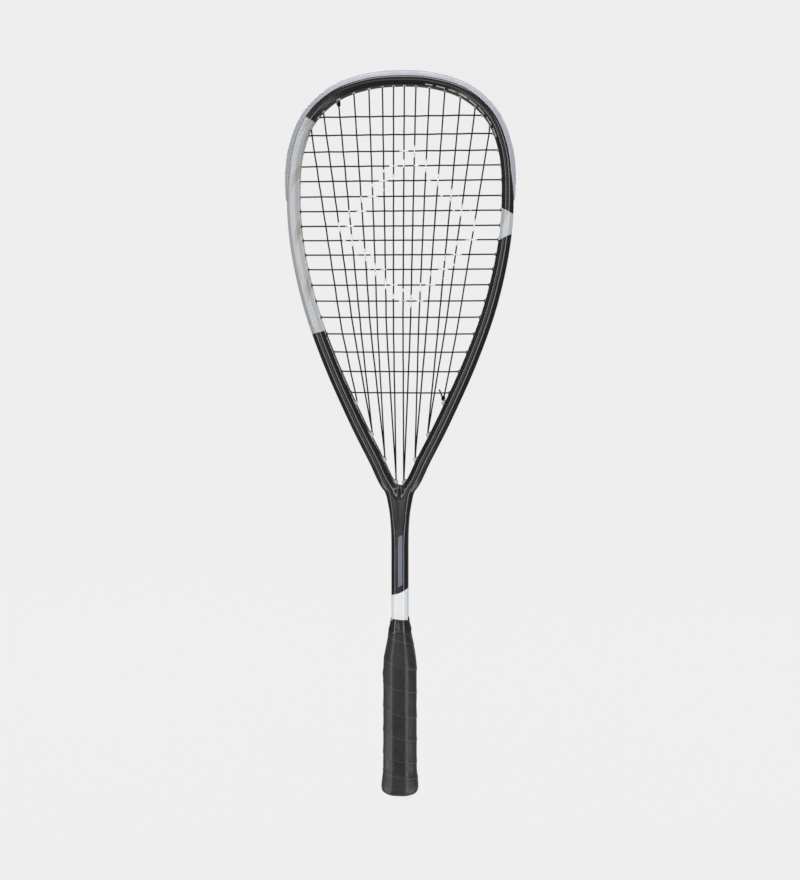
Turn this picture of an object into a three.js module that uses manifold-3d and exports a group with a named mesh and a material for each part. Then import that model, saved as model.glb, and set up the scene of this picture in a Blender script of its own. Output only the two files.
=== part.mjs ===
// Squash racket: a hollow moulded frame with a teardrop head, its bumper guard and grommets, one long
// woven string, and a foam handle with a butt cap and a wrapped grip.
// Millimetres. +Z runs from the butt to the crown, +X across the face and -Y is the front.
// The origin is the middle of the butt end.

import * as THREE from "three";
import { mergeVertices } from "three/addons/utils/BufferGeometryUtils.js";
import Module from "manifold-3d";

const wasm = await Module();
wasm.setup();

// Head opening: right half of its outline from the crown to the crotch, as [x, z].
const OPENING = [
  [0, 671.8], [30.2, 669.2], [58.5, 659.1], [80.1, 639], [91.3, 610.7], [94.4, 573], [91.6, 529.7],
  [79.9, 474.4], [61.5, 422.1], [34.3, 361.7], [16.4, 326.2], [5.7, 304.5], [0, 299.7]
];
const CROTCH = OPENING.length - 1;      // outline index of the bottom of the opening
const ARM_END = CROTCH - 1;             // outline index where the arm ends and the throat begins
const RAIL_STEP = 0.5;                  // outline spacing of the frame's cross-sections

// Frame section: flat front and back, bevelled to a narrow outer and inner edge.
const CROWN_WIDTH = 9.5;                // width of the tube seen from the front
const ARM_WIDTH = 12.9;
const HOOP_HALF_DEPTH = 9.75;
const ARM_HALF_DEPTH = 10.5;
const SHAFT_HALF_DEPTH = 8.8;
const SHAFT_HALF_WIDTH = 7.8;
const SHAFT_END = 14;                   // the shaft runs down inside the handle to this height
const BEVEL = 0.34;                     // bevel width as a share of the tube's width
const SHAFT_BEVEL = 0.45;
const WALL = 1.3;
const SEAM = 0.3;                       // how far each half reaches past the centre plane
// Throat and shaft sections: inner point, outer point and half depth.
const THROAT = [
  { inner: [2.7, 300.9], outer: [14.7, 295.2], halfDepth: 10.4 },
  { inner: [0, 299.7], outer: [12.7, 290.9], halfDepth: 10.3 },
  { inner: [0, 295.9], outer: [11.5, 285.9], halfDepth: 10.2 },
  { inner: [0, 291.3], outer: [10.4, 280.2], halfDepth: 10 },
  { inner: [0, 284.2], outer: [9.3, 273], halfDepth: 9.8 },
  { inner: [0, 274.2], outer: [8.5, 264.1], halfDepth: 9.5 },
  { inner: [0, 260.1], outer: [8, 255.1], halfDepth: 9.1 },
  { inner: [0, 242], outer: [SHAFT_HALF_WIDTH, 242], halfDepth: SHAFT_HALF_DEPTH }
];
const GROOVED_THROAT = 4;               // throat sections that still carry the string groove

// String groove round the outside of the frame, and what lies in it.
const GROOVE_HALF = 3.7;
const GROOVE_DEPTH = 3;
const GAP = 0.3;
const BASE_BOTTOM = GROOVE_DEPTH - GAP; // grommet base, measured in from the frame's outer edge
const BASE_TOP = 2;
const BASE_HALF = GROOVE_HALF - GAP;
const CHANNEL_HALF = 2.6;

// String: one length, with knots at its two ends.
const STRING_RADIUS = 0.65;
const STRING_SIDES = 4;
const STRING_DEPTH = BASE_TOP - 1.5 * GAP - STRING_RADIUS;
const WEAVE = STRING_RADIUS + GAP / 2;  // how far a string's middle leaves the face at a crossing
const SHARED = 0.8;                     // half the spacing of two strings in one hole
const BYPASS = 2 * SHARED;              // sideways place of a string that passes another's hole
const KNOT_RADIUS = 2;
const TAIL = 11;
const BEND = 0.5;
const SHARP = 0.7;                      // turns larger than this, in radians, are rounded
// Sideways places of mains 1 to 14, at their top holes and at a height low in the face.
const MAIN_TOP_X = [-83.4, -71.7, -57.6, -43.1, -29, -16.4, -6, 4, 14.8, 27.4, 41.6, 56, 69.7, 83.4];
const MAIN_LOW_X = [-55.8, -44.5, -37.3, -28.1, -21.4, -12.9, -6.2, 2.8, 9.8, 17.5, 25.1, 36, 42.9, 54.2];
const LOW_Z = 450;
const CROSS_Z = [
  644, 627.3, 612.2, 598.7, 585.1, 570.8, 557.3, 543.5, 530.3,
  516.8, 503.2, 488.7, 473.8, 458.6, 443, 426, 407.7, 387.7
];
const ARM_HOLE_Z = [378.3, 348.1, 324.5]; // holes in the arms for mains 1, 2-3 and 4-5
const LOW_HOLE = { inner: [4.7, 302.8], outerZ: 289.5 };
const CROSSOVER_Z = 282.2;                // the string passes through the throat at this height

// Grommets.
const HOLE_SIDES = 6;
const BORE = 1.1;
const WIDE_BORE = 2.05;
const TUBE_WALL = 0.4;
const HOLE_CLEARANCE = 0.4;
const COLLAR = 1;
const THROAT_COLLAR = 2.3;
const PAD_HALF_LENGTH = 3.8;
const PAD_THICKNESS = 0.6;

// Bumper guard.
const BUMPER_CROWN = 3.7;               // how far it stands proud of the frame
const BUMPER_SIDE = 2.5;
const BUMPER_HALF_DEPTH = 6.2;
const BUMPER_EDGE = 4.8;                // half depth of its outer face
const BUMPER_END_Z = 566.9;
const BUMPER_TAPER = 1.1;               // length of its tapered ends, in rail steps
const STRIP_TOP_Z = 566.2;
const STRIP_FOOT_Z = 374.8;

// Handle: eight-sided sections as [z, half width, half depth].
const FRONT_FLAT = 0.47;                // share of the half width that is flat
const SIDE_FLAT = 0.42;
const CAP_OUTSIDE = [[0, 12.5, 10.5], [1.6, 15.2, 13], [5, 16.3, 14.1], [12, 16.2, 14], [22, 14.9, 12.8]];
const CAP_INSIDE = [[3, 13.3, 11.1], [23, 13.3, 11.1]];
const PALLET_OUTSIDE = [
  [3.3, 13, 10.8], [22.3, 13, 10.8], [22.4, 14.2, 12.1], [131, 14.1, 12], [140, 13.2, 11.6],
  [150, 11, 11], [158, 9.4, 10.3]
];
const GRIP_OUTSIDE = [
  [3.4, 17, 15], [7.2, 18.2, 16], [13, 17.7, 15.5], [24, 16.5, 14.4], [125.2, 16.2, 14.2],
  [135.3, 15.4, 13.8], [147.4, 13, 12.8], [155.4, 11.3, 12], [163.5, 9.9, 10.8]
];
const GRIP_INSIDE = [
  [3.1, 16.1, 13.9], [5, 16.6, 14.4], [12, 16.5, 14.3], [22.5, 15.2, 13.1], [24, 14.5, 12.4],
  [131, 14.4, 12.3], [140, 13.5, 11.9], [150, 11.3, 11.3], [158.5, 9.7, 10.6]
];
const COLLAR_OUTSIDE = [[157.5, 12, 12.5], [164.5, 10.8, 11.6], [166.5, 9.4, 10.3], [172, 8.9, 9.9]];
const COLLAR_INSIDE = [[157.4, 11.4, 12.1], [163.9, 10.2, 11.1]];
const SLOT_TOP = 176;                   // the slot for the shaft runs from the foam's end to above here
const STAPLE_WIDTH = 8;
const STAPLE_LEG = 4.5;
const STAPLE_WIRE = 0.6;

const lerp = THREE.MathUtils.lerp;

// Solids

// Turns a closed geometry into a solid that can be joined and cut.
function solid(geometry) {
  const bare = geometry.clone();
  bare.deleteAttribute("normal");
  bare.deleteAttribute("uv");
  const merged = mergeVertices(bare, 1e-5);
  return new wasm.Manifold(new wasm.Mesh({
    numProp: 3,
    vertProperties: new Float32Array(merged.attributes.position.array),
    triVerts: new Uint32Array(merged.index.array)
  }));
}

function geometryOf(body) {
  const mesh = body.getMesh();
  const geometry = new THREE.BufferGeometry();
  geometry.setAttribute("position", new THREE.BufferAttribute(mesh.vertProperties, 3));
  geometry.setIndex(new THREE.BufferAttribute(mesh.triVerts, 1));
  return geometry;
}

function join(bodies) {
  return bodies.reduce((sum, body) => sum.add(body));
}

// Joins rings of points into a closed solid; a ring's first corner sees all its others.
function loft(rings) {
  const size = rings[0].length;
  const positions = rings.flat().flatMap((p) => [p.x, p.y, p.z]);
  const faces = [];
  for (let r = 0; r + 1 < rings.length; r += 1) {
    for (let i = 0; i < size; i += 1) {
      const a = r * size + i;
      const b = r * size + (i + 1) % size;
      faces.push(a, b, b + size, a, b + size, a + size);
    }
  }
  const last = (rings.length - 1) * size;
  for (let i = 1; i + 1 < size; i += 1) {
    faces.push(0, i + 1, i, last, last + i, last + i + 1);
  }
  if (volume(positions, faces) < 0) {
    faces.reverse();
  }
  const geometry = new THREE.BufferGeometry();
  geometry.setAttribute("position", new THREE.Float32BufferAttribute(positions, 3));
  geometry.setIndex(faces);
  return solid(geometry);
}

function volume(positions, faces) {
  const corner = (i) => new THREE.Vector3().fromArray(positions, 3 * faces[i]);
  let sum = 0;
  for (let i = 0; i < faces.length; i += 3) {
    sum += corner(i).dot(corner(i + 1).cross(corner(i + 2)));
  }
  return sum;
}

// A straight round bar between two points.
function rod(from, to, radius, sides = HOLE_SIDES) {
  const axis = to.clone().sub(from);
  const bar = new THREE.CylinderGeometry(radius, radius, axis.length(), sides);
  const turn = new THREE.Quaternion().setFromUnitVectors(new THREE.Vector3(0, 1, 0), axis.normalize());
  bar.applyQuaternion(turn);
  const middle = from.clone().add(to).multiplyScalar(0.5);
  bar.translate(middle.x, middle.y, middle.z);
  return solid(bar);
}

function box(width, depth, height, x, y, z) {
  const block = new THREE.BoxGeometry(width, depth, height);
  block.translate(x, y, z);
  return solid(block);
}

// The head's outlines

function mirrored(points) {
  const left = points.slice(1, -1).reverse().map(([x, z]) => [-x, z]);
  return points.concat(left).map(([x, z]) => new THREE.Vector3(x, 0, z));
}

const openingCurve = new THREE.CatmullRomCurve3(mirrored(OPENING), true, "centripetal");

// A point of the opening's right half, with the normal that points away from the opening.
function openingAt(index) {
  const t = index / (2 * CROTCH);
  const point = openingCurve.getPoint(t);
  const tangent = openingCurve.getTangent(t);
  return { point, normal: new THREE.Vector3(-tangent.z, 0, tangent.x), index };
}

function openingWhere(test) {
  let low = 0;
  let high = ARM_END;
  for (let i = 0; i < 40; i += 1) {
    const middle = (low + high) / 2;
    if (test(openingAt(middle).point)) {
      high = middle;
    } else {
      low = middle;
    }
  }
  return openingAt(low);
}

const atHeight = (z) => openingWhere((p) => p.z < z);
const atWidth = (x) => openingWhere((p) => p.x > x || p.z < OPENING[3][1] - 10);

function tubeWidth(index) {
  return lerp(CROWN_WIDTH, ARM_WIDTH, Math.min(1, index / 9) ** 1.25);
}

// Cross-sections of the frame's right half, from the crown to the end of the shaft.
function frameStations() {
  const stations = [];
  for (let index = 0; index <= ARM_END; index += RAIL_STEP) {
    const { point, normal } = openingAt(index);
    const outer = point.clone().addScaledVector(normal, tubeWidth(index));
    const halfDepth = lerp(HOOP_HALF_DEPTH, ARM_HALF_DEPTH, THREE.MathUtils.smoothstep(index, 3, 8));
    stations.push({ inner: point, outer, halfDepth, bevel: BEVEL, onAxis: false });
  }
  const end = { inner: [0, SHAFT_END], outer: [SHAFT_HALF_WIDTH, SHAFT_END], halfDepth: SHAFT_HALF_DEPTH };
  for (const { inner, outer, halfDepth } of [...THROAT, end]) {
    stations.push({
      inner: new THREE.Vector3(inner[0], 0, inner[1]),
      outer: new THREE.Vector3(outer[0], 0, outer[1]),
      halfDepth,
      bevel: lerp(BEVEL, SHAFT_BEVEL, THREE.MathUtils.smoothstep(302 - inner[1], 0, 40)),
      onAxis: inner[0] === 0 && inner[1] < OPENING[CROTCH][1]
    });
  }
  return stations;
}

const stations = frameStations();
const railCount = ARM_END / RAIL_STEP + 1 + GROOVED_THROAT;
const rail = stations.slice(0, railCount).map(({ outer }, k, list) => {
  const before = k === 0 ? new THREE.Vector3(-list[1].outer.x, 0, list[1].outer.z) : list[k - 1].outer;
  const after = list[Math.min(k + 1, railCount - 1)].outer;
  const tangent = after.clone().sub(before).normalize();
  return { point: outer, normal: new THREE.Vector3(-tangent.z, 0, tangent.x) };
});

// A point beside the frame's outer edge: rail index k, negative on the left, out is outward.
function beside(k, out, y = 0) {
  const low = Math.min(Math.floor(Math.abs(k)), railCount - 2);
  const share = Math.abs(k) - low;
  const point = rail[low].point.clone().lerp(rail[low + 1].point, share);
  const normal = rail[low].normal.clone().lerp(rail[low + 1].normal, share).normalize();
  point.addScaledVector(normal, out);
  return new THREE.Vector3(k < 0 ? -point.x : point.x, y, point.z);
}

// The rail index of a height on the right side.
function railAt(z) {
  let k = 0;
  while (k < railCount - 2 && rail[k + 1].point.z > z) {
    k += 1;
  }
  return k + (rail[k].point.z - z) / (rail[k].point.z - rail[k + 1].point.z);
}

function nearestRail(point) {
  const right = new THREE.Vector3(Math.abs(point.x), 0, point.z);
  let best = { k: 0, distance: Infinity };
  for (let k = 0; k <= railCount - 1; k += 0.05) {
    const distance = beside(k, -STRING_DEPTH).distanceTo(right);
    if (distance < best.distance) {
      best = { k, distance };
    }
  }
  return point.x < 0 ? -best.k : best.k;
}

// Frame

// One half of the frame, or with wall above 0 the hollow inside it.
function frameHalf(side, wall) {
  const rings = stations.map((station, k) => {
    const across = station.outer.clone().sub(station.inner);
    const width = across.length();
    across.normalize();
    const below = station.onAxis ? OPENING[CROTCH][1] - station.inner.z : 0;
    const innerBevel = Math.max(0, station.bevel * width - below);
    const outerBevel = station.bevel * width;
    const grooveWall = k < railCount ? GROOVE_DEPTH : 0;
    const start = station.onAxis ? -SEAM : wall;
    const end = width - (wall > 0 ? wall + grooveWall : 0);
    const surface = (s) => station.halfDepth - wall
      - Math.max(0, innerBevel - s) - Math.max(0, outerBevel - (width - s));
    const innerRidge = Math.max(innerBevel, start + 0.6);
    const outerRidge = Math.min(width - outerBevel, end - 0.5);
    const places = [start, innerRidge, Math.max(outerRidge, innerRidge + 0.3), end];
    const front = places.map((s) => station.inner.clone().addScaledVector(across, s).setY(-surface(s)));
    return front.concat([...front].reverse().map((p) => p.clone().setY(-p.y)));
  });
  rings.unshift(rings[0].map((p) => p.clone().setX(-SEAM)));
  if (wall > 0) {
    rings.push(rings.at(-1).map((p) => p.clone().setZ(SHAFT_END - 1)));
  }
  return loft(rings.map((ring) => ring.map((p) => p.clone().setX(side * p.x))));
}

// A band that follows the frame's outer edge between two rail places; section gives [out, y] points.
function band(from, to, section) {
  const places = [from];
  for (let k = Math.floor(from) + 1; k < to; k += 1) {
    places.push(k);
  }
  places.push(to);
  return loft(places.map((k) => section(k).map(([out, y]) => beside(k, out, y))));
}

function slab(from, to, low, high, halfWidth) {
  return band(from, to, () => [[low, -halfWidth], [high, -halfWidth], [high, halfWidth], [low, halfWidth]]);
}

// String holes: where the string enters the frame, where it reaches the groove, and the grommet's bore.
function hole(side, place, direction, options = {}) {
  const axis = place.normal.clone().add(direction).normalize();
  const length = (tubeWidth(place.index) - STRING_DEPTH) / axis.dot(place.normal);
  const exit = place.point.clone().addScaledVector(axis, length);
  return finishHole(side, place.point.clone(), exit, options);
}

function finishHole(side, entry, exit, { bore = BORE, collar = COLLAR, y = 0 } = {}) {
  const inner = new THREE.Vector3(side * entry.x, y, entry.z);
  const outer = new THREE.Vector3(side * exit.x, y, exit.z);
  const axis = outer.clone().sub(inner).normalize();
  return { inner, outer, axis, bore, collar, k: nearestRail(outer) };
}

const left = -1;
const right = 1;
const UP = new THREE.Vector3(0, 0, 1);
const DOWN = new THREE.Vector3(0, 0, -1);
const ACROSS = new THREE.Vector3(1, 0, 0);

// Holes of the mains, numbered 1 to 14 from the left; number 3 is widened for the knotted end.
function mainTopHole(number) {
  const side = number <= 7 ? left : right;
  const place = atWidth(Math.abs(MAIN_TOP_X[number - 1]));
  const knotted = number === 3;
  return hole(side, place, UP, knotted ? { bore: WIDE_BORE, y: -SHARED } : {});
}

function armHole(side, rank) {
  const options = { bore: WIDE_BORE, collar: THROAT_COLLAR };
  if (rank === ARM_HOLE_Z.length) {
    const entry = new THREE.Vector3(LOW_HOLE.inner[0], 0, LOW_HOLE.inner[1]);
    return finishHole(side, entry, beside(railAt(LOW_HOLE.outerZ), -STRING_DEPTH), options);
  }
  if (rank === 0) {
    options.bore = side === left ? BORE : WIDE_BORE;
    options.y = side === left ? 0 : -SHARED;
  }
  return hole(side, atHeight(ARM_HOLE_Z[rank]), DOWN, options);
}

const topHoles = Array.from({ length: 14 }, (_, i) => mainTopHole(i + 1));
const armHoles = {
  [left]: [0, 1, 2, 3].map((rank) => armHole(left, rank)),
  [right]: [0, 1, 2, 3].map((rank) => armHole(right, rank))
};
const crossHoles = {
  [left]: CROSS_Z.map((z) => hole(left, atHeight(z), ACROSS)),
  [right]: CROSS_Z.map((z) => hole(right, atHeight(z), ACROSS))
};
const crossover = railAt(CROSSOVER_Z);

function allHoles() {
  return [...topHoles, ...armHoles[left], ...armHoles[right], ...crossHoles[left], ...crossHoles[right]];
}

const along = (h, inside, outside) => [
  h.inner.clone().addScaledVector(h.axis, -inside),
  h.outer.clone().addScaledVector(h.axis, outside)
];

const holeCutter = (h) => rod(...along(h, 6, 6), h.bore + TUBE_WALL + HOLE_CLEARANCE);

function frame() {
  let body = frameHalf(right, 0).add(frameHalf(left, 0));
  body = body.subtract(frameHalf(right, WALL).add(frameHalf(left, WALL)));
  const grooves = slab(-lastRail, lastRail, -GROOVE_DEPTH, GROOVE_DEPTH, GROOVE_HALF);
  const throughHole = rod(crossoverEnd(left, 6), crossoverEnd(right, 6), BORE + TUBE_WALL + HOLE_CLEARANCE);
  return body.subtract(join([grooves, throughHole, ...allHoles().map(holeCutter)]));
}

// Grommets

const lastRail = railCount - 1;
const aboveBase = slab(-lastRail, lastRail, -BASE_TOP, 2 * GROOVE_DEPTH, BASE_HALF);
const boreCutter = (h) => rod(...along(h, 8, 4), h.bore);

// The direction straight out of the frame at a rail index.
function outward(k) {
  return beside(k, 1).sub(beside(k, 0));
}

// Adds to a base the tubes that line its holes, from the base's outer face to the collars in the head.
function withTubes(base, holes) {
  const tubes = join(holes.map((h) => rod(...along(h, h.collar, GROOVE_DEPTH), h.bore + TUBE_WALL)));
  return base.add(tubes.subtract(aboveBase)).subtract(join(holes.map(boreCutter)));
}

function bumperGuard() {
  const end = railAt(BUMPER_END_Z);
  const proud = (k) => {
    const rise = lerp(BUMPER_CROWN, BUMPER_SIDE, Math.abs(k) / end);
    const share = Math.min(1, (end - Math.abs(k)) / BUMPER_TAPER);
    return lerp(0.7, rise, Math.sqrt(share));
  };
  const cheek = (sign) => band(-end, end, (k) => [
    [GAP, sign * BASE_HALF], [GAP, sign * BUMPER_HALF_DEPTH], [proud(k), sign * BUMPER_EDGE],
    [proud(k), sign * CHANNEL_HALF], [-BASE_BOTTOM, sign * CHANNEL_HALF], [-BASE_BOTTOM, sign * BASE_HALF]
  ]);
  const base = slab(-end, end, -BASE_BOTTOM, -BASE_TOP, BASE_HALF);
  const covered = allHoles().filter((h) => Math.abs(h.k) < end);
  return withTubes(join([base, cheek(1), cheek(-1)]), covered);
}

function grommetStrip(side) {
  const [from, to] = [railAt(STRIP_TOP_Z), railAt(STRIP_FOOT_Z)];
  const base = side === right
    ? slab(from, to, -BASE_BOTTOM, -BASE_TOP, BASE_HALF)
    : slab(-to, -from, -BASE_BOTTOM, -BASE_TOP, BASE_HALF);
  const covered = crossHoles[side].filter((h) => Math.abs(h.k) > from && Math.abs(h.k) < to);
  return withTubes(base, covered);
}

// A separate grommet for a hole in the arm, on a short pad that lies in the groove.
function throatGrommet(h) {
  const out = outward(h.k);
  const forward = new THREE.Vector3(0, 1, 0);
  const pad = new THREE.BoxGeometry(2 * PAD_HALF_LENGTH, 2 * BASE_HALF, PAD_THICKNESS);
  pad.applyMatrix4(new THREE.Matrix4().makeBasis(forward.clone().cross(out), forward, out));
  const middle = beside(h.k, -(BASE_TOP + BASE_BOTTOM) / 2);
  pad.translate(middle.x, middle.y, middle.z);
  return withTubes(solid(pad), [h]);
}

function crossoverEnd(side, extra) {
  const edge = beside(crossover, 0);
  return new THREE.Vector3(side * (edge.x + extra), -SHARED, CROSSOVER_Z);
}

function crossoverGrommet() {
  const tube = rod(crossoverEnd(left, -BASE_TOP), crossoverEnd(right, -BASE_TOP), BORE + TUBE_WALL);
  return tube.subtract(rod(crossoverEnd(left, 2), crossoverEnd(right, 2), BORE));
}

// String

const shifted = (point, y) => point.clone().setY(y);

// Points from the mouth of a hole to the groove; y is the string's place within the hole.
function throughHole(h, y) {
  const mouth = h.inner.clone().addScaledVector(h.axis, -h.collar);
  return [shifted(mouth, y), shifted(h.outer, y)];
}

// Points of the string in the groove between two holes, kept clear of the holes themselves.
function groovePoints(fromK, toK, y) {
  const step = Math.sign(toK - fromK);
  const points = [];
  for (let k = Math.trunc(fromK) - step; step * k < step * toK + 1; k += step) {
    if (step * (k - fromK) > 0.25 && step * (toK - k) > 0.25) {
      points.push(beside(k, -STRING_DEPTH, y));
    }
  }
  return points;
}

function mainX(number, z) {
  const low = MAIN_LOW_X[number - 1];
  const end = z > LOW_Z ? topHoles[number - 1].inner : mainFoot(number);
  return lerp(low, end.x, (z - LOW_Z) / (end.z - LOW_Z));
}

function armRank(number) {
  const fromOutside = number <= 7 ? number : 15 - number;
  return Math.floor(fromOutside / 2);
}

function mainFoot(number) {
  const h = armHoles[number <= 7 ? left : right][armRank(number)];
  return h.inner.clone().addScaledVector(h.axis, -h.collar);
}

// Place of a main within its arm hole: outer and inner of each pair lie side by side.
function footY(number) {
  const fromOutside = number <= 7 ? number : 15 - number;
  if (fromOutside === 1) {
    return 0;
  }
  return fromOutside % 2 === 0 ? SHARED : -SHARED;
}

const over = (number, cross) => ((number + cross) % 2 === 0 ? WEAVE : -WEAVE);

function crossesOf(number) {
  const top = topHoles[number - 1].inner.z;
  return CROSS_Z.map((z, i) => ({ z, i })).filter(({ z }) => z < top - 2);
}

// A main from its top hole to its foot, including both holes.
function mainRun(number) {
  const side = number <= 7 ? left : right;
  const crossings = crossesOf(number).map(({ z, i }) => (
    new THREE.Vector3(mainX(number, z), over(number, i), z)));
  return [
    ...throughHole(topHoles[number - 1], 0).reverse(),
    ...crossings,
    ...throughHole(armHoles[side][armRank(number)], footY(number))
  ];
}

// A cross from its left hole to its right hole, including both holes.
function crossRun(i) {
  const points = [];
  for (let number = 1; number <= 14; number += 1) {
    if (crossesOf(number).some((cross) => cross.i === i)) {
      points.push(new THREE.Vector3(mainX(number, CROSS_Z[i]), -over(number, i), CROSS_Z[i]));
    }
  }
  return [...throughHole(crossHoles[left][i], 0).reverse(), ...points, ...throughHole(crossHoles[right][i], 0)];
}

function footLoop(from, to) {
  const side = from <= 7 ? left : right;
  const [a, b] = [from, to].map((number) => armHoles[side][armRank(number)].k);
  return groovePoints(a, b, (footY(from) + footY(to)) / 2);
}

function topLoop(from, to) {
  return groovePoints(topHoles[from - 1].k, topHoles[to - 1].k, 0);
}

// The run through the throat from main 7 to main 8.
function crossoverRun() {
  const k = armHoles[right][3].k;
  const downSide = (side) => [
    beside(side * (k + 0.8), -STRING_DEPTH, -SHARED),
    new THREE.Vector3(side * (beside(crossover, 0).x - STRING_DEPTH), -SHARED, CROSSOVER_Z)
  ];
  return [...downSide(left), ...downSide(right).reverse()];
}

function knotPoint(h, number) {
  const mouth = h.inner.clone().addScaledVector(h.axis, -h.collar);
  const toward = number === 3 ? DOWN : UP;
  return mouth.addScaledVector(toward, KNOT_RADIUS + 0.6).setY(-SHARED);
}

// The whole string, from the knot at the top of main 3 to the knot at the foot of main 14.
function stringPath() {
  const tieTop = topHoles[2];
  const tieFoot = armHoles[right][0];
  const topKnot = knotPoint(tieTop, 3);
  const footKnot = knotPoint(tieFoot, 14);
  const path = [shifted(topKnot, -BYPASS), ...throughHole(tieTop, -BYPASS)];
  path.push(...groovePoints(tieTop.k, topHoles[0].k, -BYPASS));
  for (let number = 1; number <= 14; number += 1) {
    const run = mainRun(number);
    path.push(...(number % 2 === 1 ? run : run.reverse()));
    if (number === 7) {
      path.push(...crossoverRun());
    } else if (number < 14) {
      path.push(...(number % 2 === 1 ? footLoop(number, number + 1) : topLoop(number, number + 1)));
    }
  }
  path.push(...groovePoints(topHoles[13].k, crossHoles[right][0].k, 0));
  CROSS_Z.forEach((_, i) => {
    const run = crossRun(i);
    path.push(...(i % 2 === 0 ? run.reverse() : run));
    if (i + 1 < CROSS_Z.length) {
      const side = i % 2 === 0 ? left : right;
      path.push(...groovePoints(crossHoles[side][i].k, crossHoles[side][i + 1].k, i === 0 ? BYPASS : 0));
    }
  });
  path.push(...groovePoints(crossHoles[right][17].k, tieFoot.k, -BYPASS));
  path.push(...throughHole(tieFoot, -BYPASS).reverse(), shifted(footKnot, -BYPASS));
  path.push(footKnot.clone().add(new THREE.Vector3(-0.6 * TAIL, -BYPASS, 0.8 * TAIL)));
  return path;
}

// Rounds the sharp turns of a path.
function rounded(path) {
  const result = [path[0]];
  for (let i = 1; i + 1 < path.length; i += 1) {
    const before = path[i - 1].clone().sub(path[i]);
    const after = path[i + 1].clone().sub(path[i]);
    const room = Math.min(before.length(), after.length()) * 0.45;
    const turn = Math.PI - before.angleTo(after);
    if (turn < SHARP) {
      result.push(path[i]);
      continue;
    }
    const setback = Math.min(room, BEND * Math.tan(turn / 2));
    const start = path[i].clone().addScaledVector(before.normalize(), setback);
    const end = path[i].clone().addScaledVector(after.normalize(), setback);
    result.push(start, end);
  }
  result.push(path.at(-1));
  return result;
}

// A curve that visits each of its points in equal steps of its parameter.
class Polyline extends THREE.Curve {
  constructor(points) {
    super();
    this.points = points;
  }

  getPoint(t) {
    return this.points[Math.round(t * (this.points.length - 1))].clone();
  }

  getPointAt(t) {
    return this.getPoint(t);
  }

  getTangentAt(t) {
    const i = Math.round(t * (this.points.length - 1));
    const tangent = new THREE.Vector3();
    if (i > 0) {
      tangent.add(this.points[i].clone().sub(this.points[i - 1]).normalize());
    }
    if (i + 1 < this.points.length) {
      tangent.add(this.points[i + 1].clone().sub(this.points[i]).normalize());
    }
    return tangent.normalize();
  }
}

function knot(centre) {
  const lump = new THREE.IcosahedronGeometry(KNOT_RADIUS, 1);
  lump.translate(centre.x, centre.y, centre.z);
  return solid(lump);
}

function string() {
  const path = rounded(stringPath());
  const section = new THREE.Shape();
  for (let i = 0; i < STRING_SIDES; i += 1) {
    const angle = 2 * Math.PI * i / STRING_SIDES;
    section[i === 0 ? "moveTo" : "lineTo"](STRING_RADIUS * Math.cos(angle), STRING_RADIUS * Math.sin(angle));
  }
  section.closePath();
  const tube = new THREE.ExtrudeGeometry(section, { steps: path.length - 1, extrudePath: new Polyline(path) });
  return join([solid(tube), knot(knotPoint(topHoles[2], 3)), knot(knotPoint(armHoles[right][0], 14))]);
}

// Handle

function octagon([z, halfWidth, halfDepth]) {
  const front = halfWidth * FRONT_FLAT;
  const side = halfDepth * SIDE_FLAT;
  const quarter = [[front, halfDepth], [halfWidth, side]];
  const points = [
    ...quarter,
    ...quarter.map(([x, y]) => [x, -y]).reverse(),
    ...quarter.map(([x, y]) => [-x, -y]),
    ...quarter.map(([x, y]) => [-x, y]).reverse()
  ];
  return points.map(([x, y]) => new THREE.Vector3(x, y, z));
}

// The room for the frame's shaft: its own section with a gap all round.
function shaftSlot() {
  const halfWidth = SHAFT_HALF_WIDTH + GAP;
  const halfDepth = SHAFT_HALF_DEPTH + GAP;
  const bevel = SHAFT_BEVEL * SHAFT_HALF_WIDTH;
  const quarter = [[halfWidth - bevel, halfDepth], [halfWidth, halfDepth - bevel]];
  const rightSide = [...quarter, ...quarter.map(([x, y]) => [x, -y]).reverse()];
  const outline = [...rightSide, ...rightSide.map(([x, y]) => [-x, y]).reverse()];
  return loft([0, SLOT_TOP].map((z) => outline.map(([x, y]) => new THREE.Vector3(x, y, z))));
}

function sleeve(outside, inside) {
  return loft(outside.map(octagon)).subtract(loft(inside.map(octagon)));
}

// A staple in the front or back of the butt cap; grow makes room for it in its neighbours.
function staple(face, grow = 0) {
  const surface = 14.2;
  const wire = STAPLE_WIRE + 2 * grow;
  const crown = box(STAPLE_WIDTH + 2 * grow, wire, wire, 0, face * (surface - 0.1), 12);
  const leg = (x) => box(wire, STAPLE_LEG + 2 * grow, wire, x, face * (surface - STAPLE_LEG / 2 + 0.2), 12);
  const reach = (STAPLE_WIDTH - STAPLE_WIRE) / 2;
  return join([crown, leg(-reach), leg(reach)]);
}

const stapleRoom = join([staple(-1, GAP), staple(1, GAP)]);

function handleFoam() {
  return loft(PALLET_OUTSIDE.map(octagon)).subtract(shaftSlot()).subtract(stapleRoom);
}

function buttCap() {
  return sleeve(CAP_OUTSIDE, CAP_INSIDE).subtract(stapleRoom);
}

function gripTape() {
  return sleeve(GRIP_OUTSIDE, GRIP_INSIDE).subtract(shaftSlot()).subtract(stapleRoom);
}

function finishingTape() {
  return sleeve(COLLAR_OUTSIDE, COLLAR_INSIDE).subtract(shaftSlot());
}

// Assembly

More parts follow.
